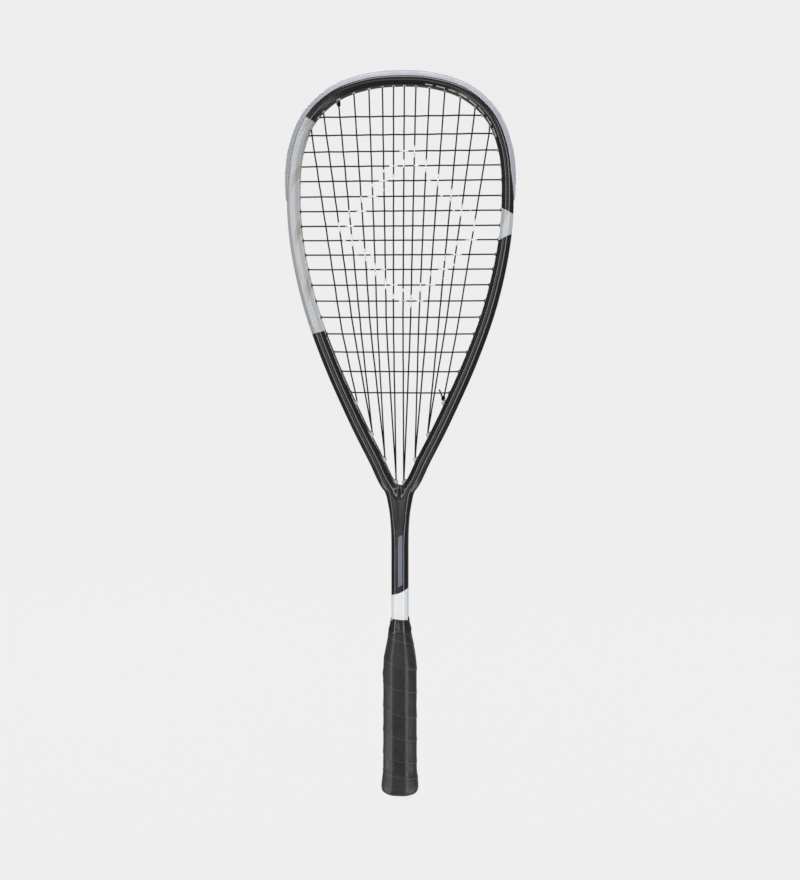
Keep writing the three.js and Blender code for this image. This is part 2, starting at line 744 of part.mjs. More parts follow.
const CARBON = { color: 0x15161a, roughness: 0.35, metalness: 0.1 };
const GUARD = { color: 0xc9d2dc, roughness: 0.3, metalness: 0 };
const CLEAR = { color: 0xd8dde2, roughness: 0.15, metalness: 0, transparent: true, opacity: 0.6 };
const GUT = { color: 0x161616, roughness: 0.45, metalness: 0 };
const FOAM = { color: 0xb9a888, roughness: 0.9, metalness: 0 };
const NYLON = { color: 0x1c1c1c, roughness: 0.6, metalness: 0 };
const STEEL = { color: 0xb8bcc0, roughness: 0.35, metalness: 1 };
const TACKY = { color: 0x2f2f2e, roughness: 0.75, metalness: 0 };
const VINYL = { color: 0x191919, roughness: 0.35, metalness: 0 };

const group = new THREE.Group();

function add(name, body, finish) {
  const mesh = new THREE.Mesh(geometryOf(body), new THREE.MeshStandardMaterial(finish));
  mesh.name = name;
  group.add(mesh);
}

add("frame", frame(), CARBON);
add("bumper_guard", bumperGuard(), GUARD);
add("grommet_strip_left", grommetStrip(left), NYLON);
add("grommet_strip_right", grommetStrip(right), NYLON);
armHoles[left].forEach((h, i) => add(`throat_grommet_left_${i + 1}`, throatGrommet(h), CLEAR));
armHoles[right].forEach((h, i) => add(`throat_grommet_right_${i + 1}`, throatGrommet(h), CLEAR));
add("throat_crossover_grommet", crossoverGrommet(), CLEAR);
add("string", string(), GUT);
add("handle_foam", handleFoam(), FOAM);
add("butt_cap", buttCap(), NYLON);
add("butt_cap_staple_front", staple(-1), STEEL);
add("butt_cap_staple_back", staple(1), STEEL);
add("grip_tape", gripTape(), TACKY);
add("grip_finishing_tape", finishingTape(), VINYL);

export default group;
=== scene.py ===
import math
from collections import namedtuple
import bmesh
import bpy
import numpy as np
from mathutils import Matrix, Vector


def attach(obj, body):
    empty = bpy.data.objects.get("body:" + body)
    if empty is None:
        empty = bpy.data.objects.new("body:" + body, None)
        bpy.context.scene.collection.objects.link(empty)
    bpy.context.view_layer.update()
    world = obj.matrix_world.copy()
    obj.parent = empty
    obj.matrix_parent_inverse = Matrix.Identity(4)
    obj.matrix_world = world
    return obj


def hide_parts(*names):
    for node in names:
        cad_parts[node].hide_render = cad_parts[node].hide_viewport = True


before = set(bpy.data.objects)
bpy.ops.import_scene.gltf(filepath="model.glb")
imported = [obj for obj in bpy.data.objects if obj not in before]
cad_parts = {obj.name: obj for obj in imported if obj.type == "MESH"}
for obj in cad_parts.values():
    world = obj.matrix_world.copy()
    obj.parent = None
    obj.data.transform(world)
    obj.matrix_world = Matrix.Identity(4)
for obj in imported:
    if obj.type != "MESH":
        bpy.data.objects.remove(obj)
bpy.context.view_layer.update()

# Shapes are worked out in millimetres, in the part's own frame, and turned into metres once.
MM = 0.001

# Head opening: right half of its outline from the crown to the crotch, as (x, z).
OPENING = [
    (0, 671.8), (30.2, 669.2), (58.5, 659.1), (80.1, 639), (91.3, 610.7), (94.4, 573), (91.6, 529.7),
    (79.9, 474.4), (61.5, 422.1), (34.3, 361.7), (16.4, 326.2), (5.7, 304.5), (0, 299.7),
]
CROTCH = len(OPENING) - 1
ARM_END = CROTCH - 1
CROTCH_Z = OPENING[CROTCH][1]
SHAFT_HALF_WIDTH = 7.8
SHAFT_HALF_DEPTH = 8.8
SHAFT_END = 14
# Throat sections: outer points, heights of the inner points on the axis, half depths.
THROAT_OUTER = [
    (14.7, 295.2), (12.7, 290.9), (11.5, 285.9), (10.4, 280.2), (9.3, 273), (8.5, 264.1),
    (8, 255.1), (SHAFT_HALF_WIDTH, 242), (SHAFT_HALF_WIDTH, 226),
]
AXIS_Z = [CROTCH_Z, 295.9, 291.3, 284.2, 274.2, 260.1, 242, 224]
THROAT_HALF_DEPTH = [10.5, 10.4, 10.3, 10.2, 10, 9.8, 9.5, 9.1, SHAFT_HALF_DEPTH, SHAFT_HALF_DEPTH]

CROWN_WIDTH = 9.5
ARM_WIDTH = 12.9
WIDENING_END = 9        # point of the outline where the tube reaches the arms' width
HOOP_HALF_DEPTH = 9.75
ARM_HALF_DEPTH = 10.5
DEEPENING = (3, 8)      # points of the outline between which the tube gets deeper
BEVEL = 0.34            # a bevel's share of the tube's width
ARM_BEVEL = BEVEL * ARM_WIDTH
SHAFT_BEVEL = 3.5
BEND = 0.4              # place of the bend across an inner bevel, from the opening's edge
RUNOUT = 13             # how far below the crotch the inner bevels run out
RIDGE = 2.5             # softness of the ridges between the flats and the bevels
EDGE_SOFTNESS = 1.1     # softness of the ridges between the bevels and the edge faces
# The inner ridges run straight on from the arms to this point, as (x, z).
RIDGE_FOOT = (2.9, 289)
RIDGE_SLOPE = 0.49
FINE_END = 164          # the sections lie close together down to here

# Distances between the frame's sections: two in points of their curves, one in millimetres.
HOOP_STEP = 1 / 18
THROAT_STEP = 1 / 8
SHAFT_STEP = 1.5

GROOVE_HALF = 3.7
GROOVE_DEPTH = 3
GROOVE_END_Z = (281, 275)

STRING_RADIUS = 0.66
STRING_DEPTH = 0.9      # how deep in the groove the string lies
STRING_SIDES = 10
WEAVE = STRING_RADIUS + 0.01
SHARED = 0.8            # how far from the middle two strings lie that share a hole
BYPASS = 2 * SHARED
MAINS = 14
TIE_MAIN = 3            # the string's first end is tied round this main, at its top hole
# Sideways places of mains 1 to 14, at their top holes and at a height low in the face.
MAIN_TOP_X = [-83.4, -71.7, -57.6, -43.1, -29, -16.4, -6, 4, 14.8, 27.4, 41.6, 56, 69.7, 83.4]
MAIN_LOW_X = [-55.8, -44.5, -37.3, -28.1, -21.4, -12.9, -6.2, 2.8, 9.8, 17.5, 25.1, 36, 42.9, 54.2]
LOW_Z = 450
CROSS_Z = [
    644, 627.3, 612.2, 598.7, 585.1, 570.8, 557.3, 543.5, 530.3,
    516.8, 503.2, 488.7, 473.8, 458.6, 443, 426, 407.7, 387.7,
]
ARM_HOLE_Z = [378.3, 348.1, 324.5]
LOW_HOLE_INNER = (4.7, 302.8)
LOW_HOLE_OUTER_Z = 289.5
CROSSOVER_Z = 282.2

BORE = 1.1
WIDE_BORE = 2.05
TUBE_WALL = 0.45
COLLAR = 1              # how far a grommet stands out into the opening
THROAT_COLLAR = 2.3
LEFT = -1
RIGHT = 1
SIDES = {"left": LEFT, "right": RIGHT}


# Curves

def smoothstep(x, low, high):
    t = np.clip((np.asarray(x, float) - low) / (high - low), 0, 1)
    return t * t * (3 - 2 * t)


def mix(a, b, t):
    return a + (b - a) * t


class Spline:
    """A centripetal Catmull-Rom curve through points; t counts points from 0."""

    def __init__(self, points, closed=False):
        self.points = np.array(points, float)
        self.closed = closed

    def point(self, i):
        n = len(self.points)
        if self.closed:
            return self.points[i % n]
        if i < 0:
            return 2 * self.points[0] - self.points[1]
        if i >= n:
            return 2 * self.points[-1] - self.points[-2]
        return self.points[i]

    def at(self, t):
        last = len(self.points) - (0 if self.closed else 1)
        i = min(int(math.floor(t)), last - 1)
        f = t - i
        p0, p1, p2, p3 = (self.point(i + d) for d in (-1, 0, 1, 2))
        pairs = ((p0, p1), (p1, p2), (p2, p3))
        d0, d1, d2 = (max(np.linalg.norm(b - a), 1e-9) ** 0.5 for a, b in pairs)
        m1 = ((p1 - p0) / d0 - (p2 - p0) / (d0 + d1) + (p2 - p1) / d1) * d1
        m2 = ((p2 - p1) / d1 - (p3 - p1) / (d1 + d2) + (p3 - p2) / d2) * d1
        c2 = -3 * p1 + 3 * p2 - 2 * m1 - m2
        c3 = 2 * p1 - 2 * p2 + m1 + m2
        return p1 + f * (m1 + f * (c2 + f * c3))


def mirrored(points):
    return list(points) + [(-x, z) for x, z in reversed(points[1:-1])]


opening = Spline(mirrored(OPENING), closed=True)


def unit(v):
    return v / np.linalg.norm(v)


def opening_at(index):
    """A point on the right half of the opening and the normal that points away from it."""
    point = opening.at(index % (2 * CROTCH))
    tangent = unit(opening.at((index + 0.02) % (2 * CROTCH)) - opening.at((index - 0.02) % (2 * CROTCH)))
    return point, np.array([-tangent[1], tangent[0]])


def tube_width(index):
    return mix(CROWN_WIDTH, ARM_WIDTH, min(1, index / WIDENING_END) ** 1.25)


def outer_at(index):
    point, normal = opening_at(index)
    return point + normal * tube_width(index)


throat_curve = Spline([outer_at(ARM_END - 0.5), outer_at(ARM_END)] + THROAT_OUTER)


Station = namedtuple("Station", "inner outer half_depth inner_bevel outer_bevel on_axis")


def ridge_reach(inner, outer):
    """How far along a throat section the straight inner ridge crosses it."""
    inner = np.array(inner, float)
    along = unit(outer - inner)
    gap = RIDGE_FOOT[0] + RIDGE_SLOPE * (inner[1] - RIDGE_FOOT[1]) - inner[0]
    return max(0.8, gap / (along[0] - RIDGE_SLOPE * along[1]))


def frame_stations():
    """Cross-sections of the frame's right half, from the crown to the end of the shaft."""
    stations = []

    def add(inner, outer, *rest):
        stations.append(Station(np.array(inner, float), np.array(outer, float), *rest))

    for index in np.arange(0, ARM_END, HOOP_STEP):
        bevel = BEVEL * tube_width(index)
        half_depth = mix(HOOP_HALF_DEPTH, ARM_HALF_DEPTH, smoothstep(index, *DEEPENING))
        add(opening_at(index)[0], outer_at(index), half_depth, bevel, bevel, False)
    for place in np.arange(0, len(THROAT_OUTER) + THROAT_STEP / 2, THROAT_STEP):
        outer = throat_curve.at(place + 1)
        half_depth = np.interp(place, range(len(THROAT_HALF_DEPTH)), THROAT_HALF_DEPTH)
        outer_bevel = mix(ARM_BEVEL, SHAFT_BEVEL, smoothstep(place, 0, 6))
        if place <= 2:
            inner = opening_at(ARM_END + place / 2)[0]
            inner[0] = max(inner[0], 0)
            reach = mix(ARM_BEVEL, ridge_reach(inner, outer), smoothstep(place, 0, 0.8))
            add(inner, outer, half_depth, reach, outer_bevel, False)
        else:
            height = np.interp(place - 2, range(len(AXIS_Z)), AXIS_Z)
            least = mix(2.8, 1, smoothstep(CROTCH_Z - height, 12, 30))
            reach = max(least, ridge_reach((0, height), outer))
            add((0, height), outer, half_depth, reach, outer_bevel, True)
    fine = np.arange(AXIS_Z[-1] - 10, FINE_END, -SHAFT_STEP)
    coarse = np.linspace(FINE_END - 4, SHAFT_END, 10)
    for height in [*fine, *coarse]:
        add((0, height), (SHAFT_HALF_WIDTH, height), SHAFT_HALF_DEPTH, 1, SHAFT_BEVEL, True)
    return stations


stations = frame_stations()
# The outer edge as a rail, down to the groove's end: points, arc length from the crown, tangents.
RAIL_END_Z = 277
rail_points = np.array([s.outer for s in stations if s.outer[1] > RAIL_END_Z])
rail_steps = np.linalg.norm(np.diff(rail_points, axis=0), axis=1)
rail_length = np.concatenate([[0], np.cumsum(rail_steps)])
rail_tangents = np.gradient(rail_points, rail_length, axis=0)
rail_tangents[0] = (1, 0)


def beside(s, out, y=0.0):
    """A point beside the frame's outer edge, s along it from the crown, negative on the left."""
    here = abs(s)
    point = np.array([np.interp(here, rail_length, rail_points[:, i]) for i in (0, 1)])
    tangent = unit(np.array([np.interp(here, rail_length, rail_tangents[:, i]) for i in (0, 1)]))
    point = point + out * np.array([-tangent[1], tangent[0]])
    return np.array([math.copysign(point[0], s) if s else point[0], y, point[1]])


def rail_at(height):
    return float(np.interp(-height, -rail_points[:, 1], rail_length))


def nearest_rail(point):
    places = np.linspace(0, rail_length[-1], 2000)
    line = np.array([beside(s, -STRING_DEPTH)[[0, 2]] for s in places])
    best = places[np.linalg.norm(line - np.array([abs(point[0]), point[2]]), axis=1).argmin()]
    return math.copysign(best, point[0])


# Meshes

def make_mesh(name, vertices, faces, material, slots, sharp, weld=0.004):
    """A smooth mesh object from vertices in millimetres; slots gives some faces another material."""
    mesh = bpy.data.meshes.new(name)
    mesh.from_pydata([tuple(v) for v in np.asarray(vertices, float) * MM], [], faces)
    for face, slot in slots.items():
        mesh.polygons[face].material_index = slot
    work = bmesh.new()
    work.from_mesh(mesh)
    bmesh.ops.remove_doubles(work, verts=work.verts, dist=weld * MM)
    bmesh.ops.dissolve_degenerate(work, edges=work.edges, dist=weld * MM / 4)
    loose = [v for v in work.verts if not v.link_faces]
    bmesh.ops.delete(work, geom=loose, context="VERTS")
    bmesh.ops.recalc_face_normals(work, faces=work.faces)
    work.to_mesh(mesh)
    work.free()
    for polygon in mesh.polygons:
        polygon.use_smooth = True
    mesh.set_sharp_from_angle(angle=math.radians(sharp))
    mesh.materials.append(material)
    piece = bpy.data.objects.new(name, mesh)
    bpy.context.scene.collection.objects.link(piece)
    return piece


def round_angles(count):
    return [2 * math.pi * k / count for k in range(count)]


class Builder:
    """Collects vertices and faces of one piece."""

    def __init__(self):
        self.vertices = []
        self.faces = []
        self.slots = {}

    def sweep(self, rings, closed_ring=True, closed_path=False, caps=True):
        """Joins rings of points; each ring has the same number of points."""
        base = len(self.vertices)
        size = len(rings[0])
        count = len(rings)
        for ring in rings:
            self.vertices.extend(ring)
        around = size if closed_ring else size - 1
        for r in range(count if closed_path else count - 1):
            for i in range(around):
                a = base + r * size + i
                b = base + r * size + (i + 1) % size
                c = base + (r + 1) % count * size + (i + 1) % size
                d = base + (r + 1) % count * size + i
                self.faces.append((a, b, c, d))
        if caps and not closed_path:
            self.faces.append(tuple(base + i for i in reversed(range(size))))
            self.faces.append(tuple(base + (count - 1) * size + i for i in range(size)))

    def tube(self, path, radius, sides):
        """A round tube along a path."""
        path = np.asarray(path, float)
        tangents = np.gradient(path, axis=0)
        tangents /= np.linalg.norm(tangents, axis=1)[:, None]
        side = unit(np.cross(tangents[0], (0.3, 1, 0.2)))
        rings = []
        for point, tangent in zip(path, tangents):
            side = unit(side - tangent * side.dot(tangent))
            up = np.cross(tangent, side)
            rings.append([
                point + radius * (math.cos(a) * side + math.sin(a) * up) for a in round_angles(sides)
            ])
        self.sweep(rings)

    def lathe(self, origin, axis, profile, sides):
        """Turns (along, radius) points about an axis from an origin."""
        axis = unit(np.asarray(axis, float))
        side = unit(np.cross(axis, (0.1, 1, 0.05)))
        up = np.cross(axis, side)
        rings = []
        for a in round_angles(sides):
            out = math.cos(a) * side + math.sin(a) * up
            rings.append([origin + axis * along + out * r for along, r in profile])
        self.sweep(rings, closed_path=True, caps=False)

    def piece(self, name, material, **options):
        return make_mesh(name, self.vertices, self.faces, material, self.slots, **options)


def arc(a, corner, b, count=4):
    """Points on a soft corner from a to b."""
    t = np.linspace(0, 1, count)[:, None]
    a, corner, b = (np.asarray(p, float) for p in (a, corner, b))
    return list((1 - t) ** 2 * a + 2 * t * (1 - t) * corner + t ** 2 * b)


def soften(points, size, count=3):
    """Rounds the corners of an outline; size is one number or one for each corner."""
    points = [np.asarray(p, float) for p in points]
    sizes = np.broadcast_to(size, len(points))
    result = []
    for i, point in enumerate(points):
        before = points[i - 1] - point
        after = points[(i + 1) % len(points)] - point
        room = [max(np.linalg.norm(v), 1e-6) for v in (before, after)]
        reach = min(sizes[i], 0.48 * min(room))
        result.extend(arc(point + before / room[0] * reach, point, point + after / room[1] * reach, count))
    return result


# Frame

ARC = 6                 # points on each softened corner
# The broken stripe on the right of the crown, in millimetres along the opening's edge.
STRIPE = (21, 108)
DASH_PERIOD = 11
DASH_LENGTH = 8
# Finishes of the frame: places of their materials on its mesh.
SILVER = 1
WHITE = 2
BAND = 3


def frame_ring(station, side):
    """Half of a cross-section, from its inner edge round the front, the outer edge and the back."""
    inner, outer, depth, inner_bevel, outer_bevel, on_axis = station
    width = np.linalg.norm(outer - inner)
    along = (outer - inner) / width
    drop = min(inner_bevel, ARM_BEVEL)
    level = 1 - BEND
    if on_axis:
        below = CROTCH_Z - inner[1]
        drop = ARM_BEVEL * max(0, 1 - below / RUNOUT) ** 1.5
        level = mix(level, 1, float(smoothstep(below, 0, 3)))
    groove = GROOVE_DEPTH * float(smoothstep(outer[1], GROOVE_END_Z[1], GROOVE_END_Z[0]))
    inner_edge = 0.001 if on_axis else EDGE_SOFTNESS
    inner_ridge = RIDGE * mix(1, 2, float(smoothstep(CROTCH_Z - inner[1], 0, RUNOUT)))
    front = [
        (0, -(depth - drop), inner_edge), (inner_bevel * BEND, -(depth - drop * level), 1.5),
        (inner_bevel, -depth, inner_ridge),
        (width - outer_bevel, -depth, RIDGE), (width, -(depth - outer_bevel), EDGE_SOFTNESS),
        (width, -GROOVE_HALF, 0.25), (width - groove, -GROOVE_HALF, 0.2),
    ]
    corners = front + [(u, -y, soft) for u, y, soft in reversed(front)]
    outline = soften([(u, y) for u, y, _ in corners], [soft for _, _, soft in corners], count=ARC)
    ring = []
    for u, y in outline:
        x, z = inner + along * u
        ring.append((side * x, y, z))
    return ring


inner_steps = [np.linalg.norm(b.inner - a.inner) for a, b in zip(stations, stations[1:])]
inner_length = np.concatenate([[0], np.cumsum(inner_steps)])


def in_dash(number):
    """Whether the broken stripe covers this section."""
    length = inner_length[number]
    return STRIPE[0] < length < STRIPE[1] and length % DASH_PERIOD < DASH_LENGTH


def build_frame(materials):
    build = Builder()
    for side in (LEFT, RIGHT):
        rings = [frame_ring(station, side) for station in stations]
        base = len(build.vertices)
        first = len(build.faces)
        build.sweep(rings, closed_ring=False, caps=False)
        size = len(rings[0])
        for r in range(len(rings) - 1):
            if side == RIGHT and in_dash(r):
                # The part of the front inner bevel that is next to the opening.
                for i in range(ARC - 1, 2 * ARC - 3):
                    build.slots[first + r * (size - 1) + i] = BAND
            if not stations[r + 1].on_axis:
                a, b = base + r * size, base + (r + 1) * size
                build.faces.append((a + size - 1, a, b, b + size - 1))
        end = base + (len(rings) - 1) * size
        build.faces.append(tuple(end + i for i in range(size)))
    piece = build.piece("frame_shell", materials[0], sharp=40)
    for material in materials[1:]:
        piece.data.materials.append(material)
    return piece


class Region:
    """Part of the frame between two slanted planes, given by (x, z) points on the front."""

    def __init__(self, low, high, side, slot):
        self.planes = [self.plane(*low), self.plane(*high)]
        self.side = side
        self.slot = slot

    @staticmethod
    def plane(a, b):
        a, b = np.array(a, float), np.array(b, float)
        direction = unit(b - a)
        normal = np.array([-direction[1], direction[0]])
        normal *= math.copysign(1, normal[1])
        return a, normal

    def holds(self, x, z):
        if self.side * x < 0:
            return False
        (low, low_normal), (high, high_normal) = self.planes
        point = np.array([x, z])
        return (point - low).dot(low_normal) > 0 and (point - high).dot(high_normal) < 0


def paint(piece, regions):
    """Cuts the mesh along each region's edges and gives the faces inside it their finish."""
    reach = 40
    work = bmesh.new()
    work.from_mesh(piece.data)
    for region in regions:
        for point, normal in region.planes:
            near = [
                f for f in work.faces
                if region.side * f.calc_center_median().x >= -MM
                and abs(f.calc_center_median().z / MM - point[1]) < reach
            ]
            geometry = set(near) | {e for f in near for e in f.edges} | {v for f in near for v in f.verts}
            bmesh.ops.bisect_plane(
                work, geom=list(geometry), dist=1e-7,
                plane_co=(point[0] * MM, 0, point[1] * MM), plane_no=(normal[0], 0, normal[1]),
            )
    for face in work.faces:
        centre = face.calc_center_median() / MM
        for region in regions:
            if region.holds(centre.x, centre.z):
                face.material_index = region.slot
    work.to_mesh(piece.data)
    work.free()


# String holes

UP = np.array([0.0, 1])
DOWN = np.array([0.0, -1])
ACROSS = np.array([1.0, 0])


def opening_where(axis, value):
    """The place on the right half of the opening with this x (near the crown) or this z (below it)."""
    low, high = ((0, 5), (2, CROTCH))[axis]
    places = np.linspace(0, high, 4000)
    places = places[places >= low]
    offsets = np.array([opening.at(t)[axis] for t in places]) - value
    crossing = np.nonzero(np.diff(np.sign(offsets)))[0][0]
    share = offsets[crossing] / (offsets[crossing] - offsets[crossing + 1])
    return mix(places[crossing], places[crossing + 1], share)


class Hole:
    """A lined hole: where the string enters the frame, and where it comes out in the groove."""

    def __init__(self, side, inner, outer, bore=BORE, collar=COLLAR, y=0.0):
        self.inner = np.array([side * inner[0], y, inner[1]])
        self.outer = np.array([side * outer[0], y, outer[1]])
        self.axis = unit(self.outer - self.inner)
        self.mouth = self.inner - self.axis * collar
        self.bore = bore
        self.collar = collar
        self.rail = nearest_rail(self.outer)


def hole(side, index, direction, **options):
    """A hole that leans from the frame's normal towards the string's direction."""
    point, normal = opening_at(index)
    axis = unit(normal + direction)
    length = (tube_width(index) - STRING_DEPTH) / axis.dot(normal)
    return Hole(side, point, point + axis * length, **options)


def side_of(number):
    return LEFT if number <= MAINS // 2 else RIGHT


def main_top_hole(number):
    x = abs(MAIN_TOP_X[number - 1])
    options = {"bore": WIDE_BORE, "y": -SHARED} if number == TIE_MAIN else {}
    return hole(side_of(number), opening_where(0, x), UP, **options)


def arm_hole(side, rank):
    options = {"bore": WIDE_BORE, "collar": THROAT_COLLAR}
    if rank == len(ARM_HOLE_Z):
        outer = beside(rail_at(LOW_HOLE_OUTER_Z), -STRING_DEPTH)
        return Hole(side, LOW_HOLE_INNER, outer[[0, 2]], **options)
    if rank == 0:
        options["bore"] = BORE if side == LEFT else WIDE_BORE
        options["y"] = 0.0 if side == LEFT else -SHARED
    return hole(side, opening_where(1, ARM_HOLE_Z[rank]), DOWN, **options)


ARM_HOLES = len(ARM_HOLE_Z) + 1
top_holes = [main_top_hole(number) for number in range(1, MAINS + 1)]
arm_holes = {side: [arm_hole(side, rank) for rank in range(ARM_HOLES)] for side in (LEFT, RIGHT)}
cross_holes = {side: [hole(side, opening_where(1, z), ACROSS) for z in CROSS_Z] for side in (LEFT, RIGHT)}


# Grommets and bumper

BUMPER_END = rail_at(566.9)
STRIP_FROM = rail_at(566.2)
STRIP_TO = rail_at(374.8)
LIP = 2.1               # how far the bumper reaches in over the bevels
BUMPER_TAPER = 26       # length of the thinning at each end of the bumper


def line_hole(build, h, sides=24):
    """The part of a grommet's tube that shows: its collar and a few millimetres inside the frame."""
    inside, outside = h.bore, h.bore + TUBE_WALL
    lip = TUBE_WALL / 2
    build.lathe(h.inner, -h.axis, [
        (-4, inside), (h.collar - lip, inside), (h.collar, inside + lip / 2), (h.collar, outside - lip / 2),
        (h.collar - lip, outside), (0.4, outside), (0.05, outside + 0.35), (-4, outside + 0.1),
    ], sides)


def band(build, start, end, section, step=2.0):
    places = np.linspace(start, end, max(3, int(abs(end - start) / step)))
    build.sweep([[beside(s, out, y) for out, y in section(s)] for s in places])


def bumper_section(s):
    """The bumper's outline, as (out, y): a channel in the groove, two ribs and a lip over each bevel."""
    share = max(0.0, min(1.0, (BUMPER_END - abs(s)) / BUMPER_TAPER))
    proud = mix(0.6, mix(3.7, 2.5, abs(s) / BUMPER_END), math.sqrt(share))
    lip = LIP * share
    half = [
        (-2.0, 0.0), (-2.0, 2.4), (-1.4, 2.6), (proud * 0.75, 2.65), (proud, 3.1), (proud, 4.7),
        (mix(0.3, proud, 0.7), 6), (0.55, 6.95), (0.55 - lip, 6.95 + lip), (-lip, 6.6 + lip),
        (0.12, 6.6), (0.12, 3.4),
    ]
    outline = [(-2.7, -3.3)] + [(out, -y) for out, y in reversed(half)] + half[1:] + [(-2.7, 3.3)]
    return soften(outline, 0.35 * min(1.0, proud / 3.2))


def build_bumper(material):
    build = Builder()
    band(build, -BUMPER_END, BUMPER_END, bumper_section)
    covered = top_holes + [h for side in (LEFT, RIGHT) for h in cross_holes[side]]
    for h in covered:
        if abs(h.rail) < BUMPER_END:
            line_hole(build, h)
    return build.piece("bumper_moulding", material, sharp=50)


def pad_outline(top, softness):
    """The outline of a strip or pad in the floor of the groove, as (out, y)."""
    return soften([(-2.75, -3.4), (top, -3.4), (top, 3.4), (-2.75, 3.4)], softness)


def build_strip(side, name, material):
    build = Builder()
    outline = pad_outline(-2.0, 0.2)
    band(build, side * STRIP_FROM, side * STRIP_TO, lambda s: outline)
    for h in cross_holes[side]:
        if STRIP_FROM < abs(h.rail) < STRIP_TO:
            line_hole(build, h)
            dish(build, h)
    return build.piece(name, material, sharp=45)


def dish(build, h):
    """The raised lip round a hole on the outer side of a strip or pad."""
    away = unit(beside(h.rail, 1) - beside(h.rail, 0))
    centre = beside(h.rail, -2.1, h.inner[1])
    build.lathe(centre, away, [
        (0, h.bore), (0.3, h.bore + 0.05), (0.4, h.bore + 0.25), (0.3, h.bore + 0.5), (0, h.bore + 0.6),
    ], 20)


def build_throat_grommet(side, rank, name, material):
    build = Builder()
    h = arm_holes[side][rank]
    outline = pad_outline(-2.05, 0.25)
    band(build, h.rail - 3.8, h.rail + 3.8, lambda s: outline, step=0.8)
    line_hole(build, h, sides=32)
    dish(build, h)
    return build.piece(name, material, sharp=45)


def build_crossover(material):
    build = Builder()
    edge = beside(rail_at(CROSSOVER_Z), 0)[0] - 2
    for side in (LEFT, RIGHT):
        start = np.array([side * edge, -SHARED, CROSSOVER_Z])
        build.lathe(start, (side, 0, 0), [
            (-5, 1.1), (0.3, 1.1), (0.5, 1.25), (0.45, 1.5), (0.2, 1.55), (0.2, 2.1), (-0.1, 2.1),
            (-0.1, 1.5), (-5, 1.5),
        ], 24)
    return build.piece("throat_crossover_liner", material, sharp=45)


# String

TAIL = 10
# The coil of a half hitch: turns, points on a turn, distance from the hole, rise in a turn.
COIL_TURNS = 2.5
COIL_POINTS = 12
COIL_START = 1.0
COIL_RISE = 1.3


def at_y(point, y):
    return np.array([point[0], y, point[2]])


def from_outside(number):
    """A main's number, counted from the outermost main on its own side."""
    return number if side_of(number) == LEFT else MAINS + 1 - number


def main_foot(number):
    return arm_holes[side_of(number)][from_outside(number) // 2]


def main_x(number, z):
    low = MAIN_LOW_X[number - 1]
    end = top_holes[number - 1].inner if z > LOW_Z else main_foot(number).mouth
    return mix(low, end[0], (z - LOW_Z) / (end[2] - LOW_Z))


def foot_y(number):
    """Where a main lies in its foot hole, which it shares unless it is the outermost one."""
    if from_outside(number) == 1:
        return 0.0
    return SHARED if from_outside(number) % 2 == 0 else -SHARED


def over(number, cross):
    return WEAVE if (number + cross) % 2 == 0 else -WEAVE


def crosses_of(number):
    """The crosses that lie clear below a main's top hole."""
    top = top_holes[number - 1].inner[2]
    return [i for i, z in enumerate(CROSS_Z) if z < top - 2]


def woven(points):
    """Points through the crossings, with the rise and fall between them."""
    result = [points[0]]
    for a, b in zip(points, points[1:]):
        for t in (0.2, 0.35, 0.5, 0.65, 0.8):
            point = mix(a, b, t)
            point[1] = mix(a[1], b[1], float(smoothstep(t, 0.08, 0.92)))
            result.append(point)
        result.append(b)
    return result


def hole_to_hole(start, start_y, crossings, end, end_y):
    inside = woven([at_y(start.mouth, start_y), *crossings, at_y(end.mouth, end_y)])
    return [at_y(start.outer, start_y), *inside, at_y(end.outer, end_y)]


def groove_run(start, end, y):
    """Points in the groove between two holes."""
    count = max(2, int(abs(end - start) / 2.5))
    places = np.linspace(start, end, count + 2)[1:-1]
    return [beside(s, -STRING_DEPTH, y) for s in places]


def main_run(number):
    top, foot = top_holes[number - 1], main_foot(number)
    crossings = [
        np.array([main_x(number, CROSS_Z[i]), over(number, i), CROSS_Z[i]]) for i in crosses_of(number)
    ]
    return hole_to_hole(top, 0, crossings, foot, foot_y(number))


def cross_run(i):
    z = CROSS_Z[i]
    crossings = [
        np.array([main_x(number, z), -over(number, i), z])
        for number in range(1, MAINS + 1) if i in crosses_of(number)
    ]
    return hole_to_hole(cross_holes[LEFT][i], 0, crossings, cross_holes[RIGHT][i], 0)


def crossover_run():
    """Points from the left arm's lowest hole through the throat to the right arm's."""
    edge = beside(rail_at(CROSSOVER_Z), 0)[0] - STRING_DEPTH
    rail = arm_holes[RIGHT][-1].rail + 2
    return [
        beside(-rail, -STRING_DEPTH, -SHARED), np.array([-edge, -SHARED, CROSSOVER_Z]),
        np.array([edge, -SHARED, CROSSOVER_Z]), beside(rail, -STRING_DEPTH, -SHARED),
    ]


